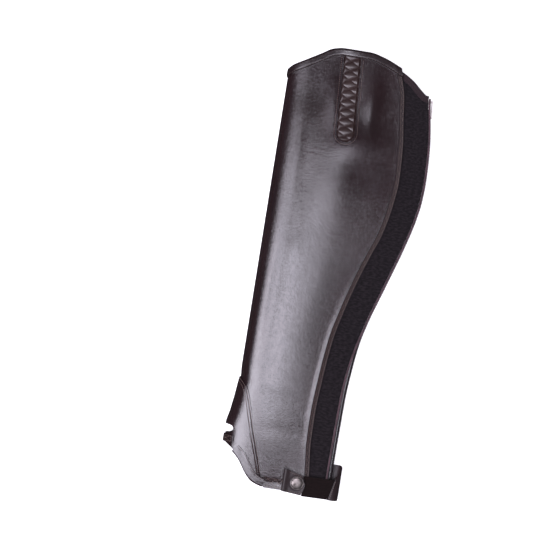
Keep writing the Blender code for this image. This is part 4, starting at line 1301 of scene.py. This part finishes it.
FOOT_EDGE = (
    Rim(-8, 378.2),
    Rim(-4, 380.3),
    Rim(0, 383.0),
    Rim(6.7, 388.2),
    Rim(12.2, 393.6),
    Rim(22.2, 408.0),
    Rim(28, 413.6),
    Rim(38.3, 417.2),
    Rim(46, 418.0),
)
SLOT_START_ACROSS, SLOT_START_DOWN, SLOT_START_HALF = -16.0, 365.0, 5.3
SLOT_END_ACROSS, SLOT_END_DOWN, SLOT_END_HALF = -1.2, 365.1, 3.9
FOOT_FLAP_OUT = 7.6
FOOT_FLAP_IN = 1.6
FOOT_BINDING_INSET = 0.8
FOOT_BINDING_SHORT = 0.8
INNER_BINDING_SHORT = 3.0
FOOT_BINDING_ROLL = 0.5
FOOT_CORNER = FOOT_END + FOOT_CORNER_WIDTH
FOOT_SKIVE = 0.8
FOOT_SKIVE_WIDTH = 5.0
FOOT_ROWS = (1.3, 3.9)
FOOT_ROW_SUNK = 0.16
BRIDGE_TOP = 370.9
BRIDGE_BOTTOM = 378.6
BRIDGE_END = 4.6


def foot_fold(girth, across):
    """Where the fold of the foot's binding begins."""
    return through(FOOT_EDGE, "across", "down", across) - TRIM_PROUD


def foot_seam(girth, across):
    return through(FOOT_SEAM, "across", "down", across)


def outside_slot(across, down):
    """How far a place is outside the slot, which is round at its end on the outer wall."""
    share = np.clip((across - SLOT_START_ACROSS) / (SLOT_END_ACROSS - SLOT_START_ACROSS), 0, 1)
    half = SLOT_START_HALF + (SLOT_END_HALF - SLOT_START_HALF) * share
    middle = SLOT_START_DOWN + (SLOT_END_DOWN - SLOT_START_DOWN) * share
    return np.hypot(np.maximum(across - SLOT_END_ACROSS, 0.0), down - middle) - half


def skived(off):
    """How much thinner the foot piece is than its full height, off its sewn edge."""
    return FOOT_SKIVE * np.clip(1 - off / FOOT_SKIVE_WIDTH, 0.0, 1.0)


foot_ends = round_the_shin(lambda down: FOOT_CORNER, lambda down: FOOT_END)
girth, down = cut(
    spread(61, 25, 25),
    foot_ends,
    foot_seam,
    lambda girth, across: foot_fold(girth, across) - EDGE_CLEAR,
    120,
)
foot_across = skin(girth, down)[0]
seam_slope = foot_seam(girth, foot_across + 0.5) - foot_seam(girth, foot_across - 0.5)
off_seam = (down - foot_seam(girth, foot_across)) / np.hypot(1.0, seam_slope)
sewn_edge = skived(off_seam)
for row in FOOT_ROWS:
    sewn_edge = sewn_edge + FOOT_ROW_SUNK * np.exp(-(((off_seam - row) / 0.6) ** 2))
foot_piece = cloth(
    "foot_piece",
    girth,
    down,
    sewn_edge - FOOT_PROUD,
    LEATHER,
    leather_finish,
    outside=outside_slot,
    both_walls=True,
    rim_round=0.35,
)
fitted(foot_piece, "dark_brown_leather", "foot_panel")

girth, down = meet(spread(90, 20, 50, first=0.04, last=2.96), foot_ends, foot_seam)
rows = [beside_edge(girth, down, 1, off, skived(off) - FOOT_PROUD) for off in FOOT_ROWS]
stitched("foot_seam_stitches", rows, light_thread, pitch=2.2, length=1.5, thread=0.65)

binding_start = BRIDGE_END + FOOT_BINDING_INSET
binding_stop = FOOT_CORNER - FOOT_BINDING_SHORT
outer_lane = on_one_wall(upper, lambda down: binding_stop, lambda down: binding_start)
inner_lane = on_one_wall(lower, lambda down: binding_start, lambda down: binding_stop - INNER_BINDING_SHORT)
foot_rows = []
foot_bindings = []
for name, lane, roll in (
    ("foot_binding_outer", outer_lane, FOOT_BINDING_ROLL),
    ("foot_binding_inner", inner_lane, 0.0),
):
    girth, down = meet(spread(60), lane, foot_fold)
    edge = folded_over(
        name + "_edge",
        girth,
        down,
        -1,
        (-FOOT_PROUD, LEATHER),
        (FOOT_FLAP_OUT, FOOT_FLAP_IN),
        binding_finish,
        roll=roll,
    )
    fitted(edge, "dark_brown_leather", name)
    foot_bindings.append(edge)
    depth = -FOOT_PROUD - TRIM_PROUD + THREAD_SUNK
    foot_rows.append(beside_edge(girth, down, -1, FOOT_FLAP_OUT - ROW_INSET, depth))
stitched("foot_binding_stitches", foot_rows, light_thread, pitch=2.4, length=1.7, thread=0.55)
cut_flat(foot_piece, 110, 110)
for edge in foot_bindings:
    cut_flat(edge, 13, 50)

# ---------------------------------------------------------------- bridge strap
# A short strap of leather sewn across the shin fold under the slot, with a box of stitches and a cross.

BOX_INSET = 1.1
BOX_BACK, BOX_FRONT = 0.12, 0.86


def over_the_fold(share, down):
    """A cut across the shin fold, from the outer wall to the inner."""
    outer = np.clip(1 - share, 0.0, 1.0) * upper(BRIDGE_END, down)
    return outer + np.clip(share - 1, 0.0, 1.0) * lower(BRIDGE_END, down)


girth, down = cut(spread(21, 15), over_the_fold, level_at(BRIDGE_TOP), level_at(BRIDGE_BOTTOM), 14)
bridge = cloth(
    "bridge_over_fold", girth, down, -FOOT_PROUD - TRIM_PROUD, BINDING, binding_finish, rim_round=0.3
)
fitted(bridge, "dark_brown_leather", "bridge_strap")


def on_the_bridge(start, end):
    """A line on the strap between two corners, each a share and a down."""
    share, down = np.linspace(start, end, 30).T
    girth = over_the_fold(share, down)
    return on_skin(girth, down, -FOOT_PROUD - TRIM_PROUD), outward(girth, down)


top_back, top_front = [(share, BRIDGE_TOP + BOX_INSET) for share in (BOX_BACK, BOX_FRONT)]
low_back, low_front = [(share, BRIDGE_BOTTOM - BOX_INSET) for share in (BOX_BACK, BOX_FRONT)]
sides = [(top_back, top_front), (low_back, low_front), (top_back, low_back), (top_front, low_front)]
crosses = [(top_back, low_front), (low_back, top_front)]
box_rows = [on_the_bridge(start, end) for start, end in sides + crosses]
stitched("bridge_stitches", box_rows, light_thread, pitch=2.0, length=1.5, thread=0.55)

# ---------------------------------------------------------------- heel strap
# A leather end is folded round the foot of the zip and sewn to both walls. A band of brown elastic runs
# from it to a folded leather tab, which carries the snap.

StrapRow = namedtuple("StrapRow", "turn top bottom")
STRAP_ROWS = (
    StrapRow(-1.0, 400.7, 421.6),
    StrapRow(-0.55, 396.8, 421.6),
    StrapRow(0.0, 388.2, 420.6),
    StrapRow(0.5, 385.8, 416.0),
    StrapRow(1.0, 386.2, 411.5),
)
STRAP_PROUD = LEATHER + GAP
STRAP_BACK = 116.5
STRAP_TURN = 106.3
STRAP_INNER_END = 88.0
STRAP_SLANT = 4.6
STRAP_ELASTIC_TOP = 400.7
STRAP_ELASTIC_BOTTOM = 421.2
TAB_FOLD = 58.4
TAB_ROUND_END = 80.6
TAB_LOWER_END = 79.0
TAB_TOP, TAB_TOP_SLOPE = 395.3, 0.26
TAB_BOTTOM, TAB_BOTTOM_SLOPE = 418.4, 0.10
TAB_END_RADIUS = 17.0
TAB_LOFT = 1.0
SNAP_ACROSS = 72.8
SNAP_DOWN = 408.3
SNAP_RADIUS = 6.7
SNAP_DENT = 0.5

strap_height = skin(upper(STRAP_TURN, 405.0), 405.0)[1] + STRAP_PROUD
strap_turn = np.concatenate([np.linspace(-1, 1, 41), np.ones(20)])
strap_flat = np.concatenate([np.zeros(41), np.linspace(0, 1, 21)[1:]])
strap_angle = strap_turn * math.pi / 2
strap_across = STRAP_TURN + (STRAP_BACK - STRAP_TURN) * np.cos(strap_angle)
strap_across = strap_across + (STRAP_INNER_END - STRAP_TURN) * strap_flat
strap_rise = strap_height / 2 * (1 - np.sin(strap_angle))
strap_top = through(STRAP_ROWS, "turn", "top", strap_turn)
strap_bottom = through(STRAP_ROWS, "turn", "bottom", strap_turn)
strap_share = np.linspace(0, 1, 31)
strap_down = strap_top[:, None] + (strap_bottom - strap_top)[:, None] * strap_share
strap_slant = STRAP_SLANT * ramp((-strap_turn - 0.55) / 0.45)[:, None] * (1 - strap_share)
strap_points = np.stack(
    [
        strap_across[:, None] + strap_slant,
        -strap_down,
        strap_rise[:, None] + np.zeros_like(strap_down),
    ],
    axis=-1,
)
strap_finish = waxed_leather(
    "strap leather", (0.0125, 0.0072, 0.0080), (0.0180, 0.0108, 0.0118), 0.46, grain=0.10, specular=0.4
)
strap_end = shell("heel_strap_end", strap_points[::-1], LEATHER, strap_finish, rim_round=0.4)
fitted(strap_end, "dark_brown_leather", "strap_end")
cut_flat(strap_end, 52, 35)

strap_elastic_finish = ribbed_elastic(
    "brown ribbed elastic", (0.0042, 0.0019, 0.0018), (0.0064, 0.0031, 0.0030), 1.3, 0.10, 0.5
)


def band_end(down):
    """The band ends against the strap end's slanting edge."""
    share = (down - STRAP_ELASTIC_TOP) / (STRAP_ELASTIC_BOTTOM - STRAP_ELASTIC_TOP)
    return STRAP_TURN - 0.2 + STRAP_SLANT * (1 - np.clip(share, 0.0, 1.0))


lane = on_one_wall(upper, band_end, lambda down: TAB_LOWER_END + GAP)
girth, down = cut(spread(60), lane, level_at(STRAP_ELASTIC_TOP), level_at(STRAP_ELASTIC_BOTTOM), 36)
band = cloth("heel_strap_band", girth, down, -STRAP_PROUD, LEATHER, strap_elastic_finish)
fitted(band, "brown_elastic", "strap_elastic")
cut_flat(band, 28, 21)

tab_level = 2 * STRAP_PROUD
tab_bend = (tab_level - GAP) / 2
tab_start = TAB_FOLD + tab_bend
tab_share = np.linspace(0, 1, 41)
tab_columns = []


def tab_top(across):
    return TAB_TOP + (across - TAB_FOLD) * TAB_TOP_SLOPE


def tab_bottom(across):
    return TAB_BOTTOM + (across - TAB_FOLD) * TAB_BOTTOM_SLOPE


def round_end(down):
    """How far back the tab's round end reaches."""
    off = down - (STRAP_ELASTIC_TOP + STRAP_ELASTIC_BOTTOM) / 2
    return TAB_ROUND_END - TAB_END_RADIUS + np.sqrt(TAB_END_RADIUS**2 - off**2)


for part, steps in (("over", 46), ("bend", 12), ("under", 30)):
    for share in np.linspace(0, 1, steps + 1)[0 if part == "over" else 1 :]:
        across = np.full(len(tab_share), tab_start)
        for _ in range(4):
            top = tab_top(across)
            down = top + (tab_bottom(across) - top) * tab_share
            if part == "over":
                across = round_end(down) + (tab_start - round_end(down)) * share
                ring = (np.hypot(across - SNAP_ACROSS, down - SNAP_DOWN) - SNAP_RADIUS - 0.5) / 0.6
                lofted = TAB_LOFT * ramp((TAB_FOLD + 7 - across) / 6)
                proud = tab_level - SNAP_DENT * np.exp(-(ring**2)) + lofted
            elif part == "bend":
                across = np.full(len(tab_share), tab_start - tab_bend * math.sin(share * math.pi))
                proud = GAP + (tab_bend + TAB_LOFT / 2) * (1 + math.cos(share * math.pi))
            else:
                across = np.full(len(tab_share), tab_start + (TAB_LOWER_END - tab_start) * share)
                proud = GAP
        tab_columns.append(on_skin(upper(across, down), down, -proud))
tab = shell("snap_tab", np.array(tab_columns), LEATHER, strap_finish, rim_round=0.45)
fitted(tab, "dark_brown_leather", "strap_tab")
cut_flat(tab, 46, 25)


def tab_row(inset):
    """A row of stitches round the tab's upper layer, an even step in from its edge."""
    side = np.linspace(TAB_FOLD + 1.5, TAB_ROUND_END - 4.0, 30)
    top_down = tab_top(side) + inset
    bottom_down = tab_bottom(side) - inset
    turn_down = top_down[-1] + (bottom_down[-1] - top_down[-1]) * np.linspace(0, 1, 20)[1:-1]
    across = np.concatenate([side, round_end(turn_down) - inset, side[::-1]])
    down = np.concatenate([top_down, turn_down, bottom_down[::-1]])
    return line_on(upper, across, down, tab_level)


strap_row = strap_points[2, 2:-2]
strap_out = np.broadcast_to(np.array([0.1, 0.0, 1.0]), strap_row.shape)
strap_rows = [tab_row(1.6), (strap_row, strap_out)]
stitched("heel_strap_stitches", strap_rows, light_thread, pitch=2.2, length=1.5, thread=0.6)

# ---------------------------------------------------------------- snap
# A spring snap with a domed cap and rolled rim in worn antique silver. Its stud comes up through the
# leather to meet it.

SNAP_HEIGHT = 1.75
SNAP_SEAT = 0.5
SNAP_POST_RADIUS = 1.8
DOME_RADIUS = 5.6
DOME_FOOT = 0.95
ROLLED_RIM_RADIUS = 6.25
ROLLED_RIM_HALF = 0.45

pewter_finish = antique_silver("worn antique silver", (0.24, 0.215, 0.205), (0.060, 0.053, 0.050), 0.38)
snap_foot = 2 * STRAP_PROUD + SNAP_SEAT
profile = [(0.0, SNAP_HEIGHT)]
for turn in np.linspace(0, math.pi / 2, 9)[1:]:
    height = DOME_FOOT + (SNAP_HEIGHT - DOME_FOOT) * math.cos(turn)
    profile.append((DOME_RADIUS * math.sin(turn), height))
profile.append((DOME_RADIUS + 0.15, 0.35))
for turn in np.linspace(math.pi, 0, 9):
    profile.append((ROLLED_RIM_RADIUS + ROLLED_RIM_HALF * math.cos(turn), 0.45 + 0.40 * math.sin(turn)))
profile += [(SNAP_RADIUS, 0.0), (SNAP_POST_RADIUS, 0.0)]
profile += [(SNAP_POST_RADIUS, GAP - snap_foot), (0.0, GAP - snap_foot)]
shape = bmesh.new()
line = [shape.verts.new((r * MILLIMETRE, 0, (h + snap_foot) * MILLIMETRE)) for r, h in profile]
edges = [shape.edges.new(pair) for pair in zip(line, line[1:])]
spun = {"cent": (0, 0, 0), "axis": (0, 0, 1), "angle": math.tau, "steps": 64}
bmesh.ops.spin(shape, geom=line + edges, use_merge=True, use_duplicate=False, **spun)
bmesh.ops.remove_doubles(shape, verts=shape.verts, dist=1e-6)
bmesh.ops.recalc_face_normals(shape, faces=shape.faces)
snap_girth = upper(SNAP_ACROSS, SNAP_DOWN)
snap_out = Vector(outward(snap_girth, SNAP_DOWN))
turned = Vector((0, 0, 1)).rotation_difference(snap_out).to_matrix().to_4x4()
turned.translation = to_world(spot(snap_girth, SNAP_DOWN))
bmesh.ops.transform(shape, matrix=turned, verts=shape.verts)
fitted(piece_from(shape, "snap_dome", pewter_finish), "antique_silver", "snap_cap")

# ---------------------------------------------------------------- loose stitching on the leather
# Rows that hold the insert round its window, and the crosses of thread at the foot that hold the end of
# the band under the boot.

WINDOW_ROW = 2.4
WINDOW_ROW_TOP = -19.5
TACK_FRONT = 36.5
TACK_WIDTH = 7.5
TACK_TOP, TACK_BOTTOM = 408.6, 415.6

side = np.linspace(WINDOW_ROW_TOP, WINDOW_END_DOWN, 60)
turn = np.linspace(0, math.pi, 40)[1:-1]
radius = WINDOW_END_RADIUS + WINDOW_ROW
window_across = np.concatenate(
    [
        window_middle(side) + window_half(side) + WINDOW_ROW,
        WINDOW_END_ACROSS + radius * np.cos(turn),
        (window_middle(side) - window_half(side) - WINDOW_ROW)[::-1],
    ]
)
window_down = np.concatenate([side, WINDOW_END_DOWN + radius * np.sin(turn), side[::-1]])
window_row = line_on(upper, window_across, window_down)
stitched("window_stitches", [window_row], light_thread, pitch=2.0, length=1.3, thread=0.65)

tack_rows = []
for i in range(3):
    ends = (TACK_FRONT + i * TACK_WIDTH, TACK_FRONT + (i + 1) * TACK_WIDTH)
    for start, end in (ends, ends[::-1]):
        down = np.linspace(TACK_TOP, TACK_BOTTOM, 12)
        tack_rows.append(line_on(upper, np.linspace(start, end, 12), down))
for down in (TACK_TOP - 0.4, TACK_BOTTOM + 0.6):
    across = np.linspace(TACK_FRONT, TACK_FRONT + 3 * TACK_WIDTH + 0.5, 40)
    tack_rows.append(line_on(upper, across, down))
stitched("foot_tack_stitches", tack_rows, light_thread, pitch=1.9, length=1.5, thread=0.65)

# ---------------------------------------------------------------- floor, light and camera
# The chap lies on a plain white surface that glows a little, seen from straight above. Three soft boxes
# make the long highlights on the leather, and a fill that its shine doesn't show lifts the rest.

FLOOR_HALF = 4.0
FLOOR_BELOW = 0.0004
VIEW_ACROSS, VIEW_DOWN, VIEW_HEIGHT = 18.8, 206.6, 20.0
VIEW_WIDTH = 0.55
CAMERA_HEIGHT = 2.0
CAMERA_UP = (-0.1577, 0.9875, 0.0)
LIGHT_HEIGHT = 2.6

shape = bmesh.new()
place = Matrix.Translation((0, 0, -FLOOR_BELOW))
bmesh.ops.create_grid(shape, x_segments=1, y_segments=1, size=FLOOR_HALF, matrix=place)
floor_finish, tree, shader = new_finish("white floor", (0.92, 0.92, 0.92), 0.9, specular=0.0)
shader.inputs["Emission Color"].default_value = (1.0, 1.0, 1.0, 1.0)
shader.inputs["Emission Strength"].default_value = 0.55
floor = piece_from(shape, "floor", floor_finish)
floor.visible_glossy = False

view_middle = Vector(to_world((VIEW_ACROSS, -VIEW_DOWN, VIEW_HEIGHT)))
lens = bpy.data.cameras.new("camera")
lens.sensor_width = 36.0
lens.lens = lens.sensor_width * CAMERA_HEIGHT / VIEW_WIDTH
camera = placed("camera", lens)
up = Vector(CAMERA_UP).normalized()
away = Vector((0, 0, 1))
turned = Matrix((up.cross(away), up, away)).transposed().to_4x4()
turned.translation = view_middle + away * CAMERA_HEIGHT
camera.matrix_world = turned
bpy.context.scene.camera = camera


def soft_light(name, x, y, size, turn, power):
    """A soft box that hangs level over the chap, turned about the upright."""
    lamp = bpy.data.lights.new(name, "AREA")
    lamp.shape = "RECTANGLE"
    lamp.size, lamp.size_y = size
    lamp.energy = power
    lamp.color = (1.0, 0.96, 1.09)
    made = placed(name, lamp)
    made.location = (x, y, LIGHT_HEIGHT)
    made.rotation_euler = (0.0, 0.0, math.radians(turn))
    return made


soft_light("upper soft box", 0.06, -0.005, (0.88, 0.42), -4.0, 12.6)
soft_light("lower soft box", 0.35, -0.38, (1.46, 0.36), -4.0, 17.0)
soft_light("side soft box", -1.40, -0.90, (2.05, 2.25), 24.5, 138.0)
fill = soft_light("fill", 0.5, 1.2, (3.1, 1.6), 0, 24.0)
fill.visible_glossy = False

world = bpy.data.worlds.new("room")
world.use_nodes = True
room_light = world.node_tree.nodes["Background"]
room_light.inputs["Color"].default_value = (1.0, 1.0, 1.0, 1.0)
room_light.inputs["Strength"].default_value = 0.06
bpy.context.scene.world = world
bpy.context.scene.view_settings.view_transform = "Standard"
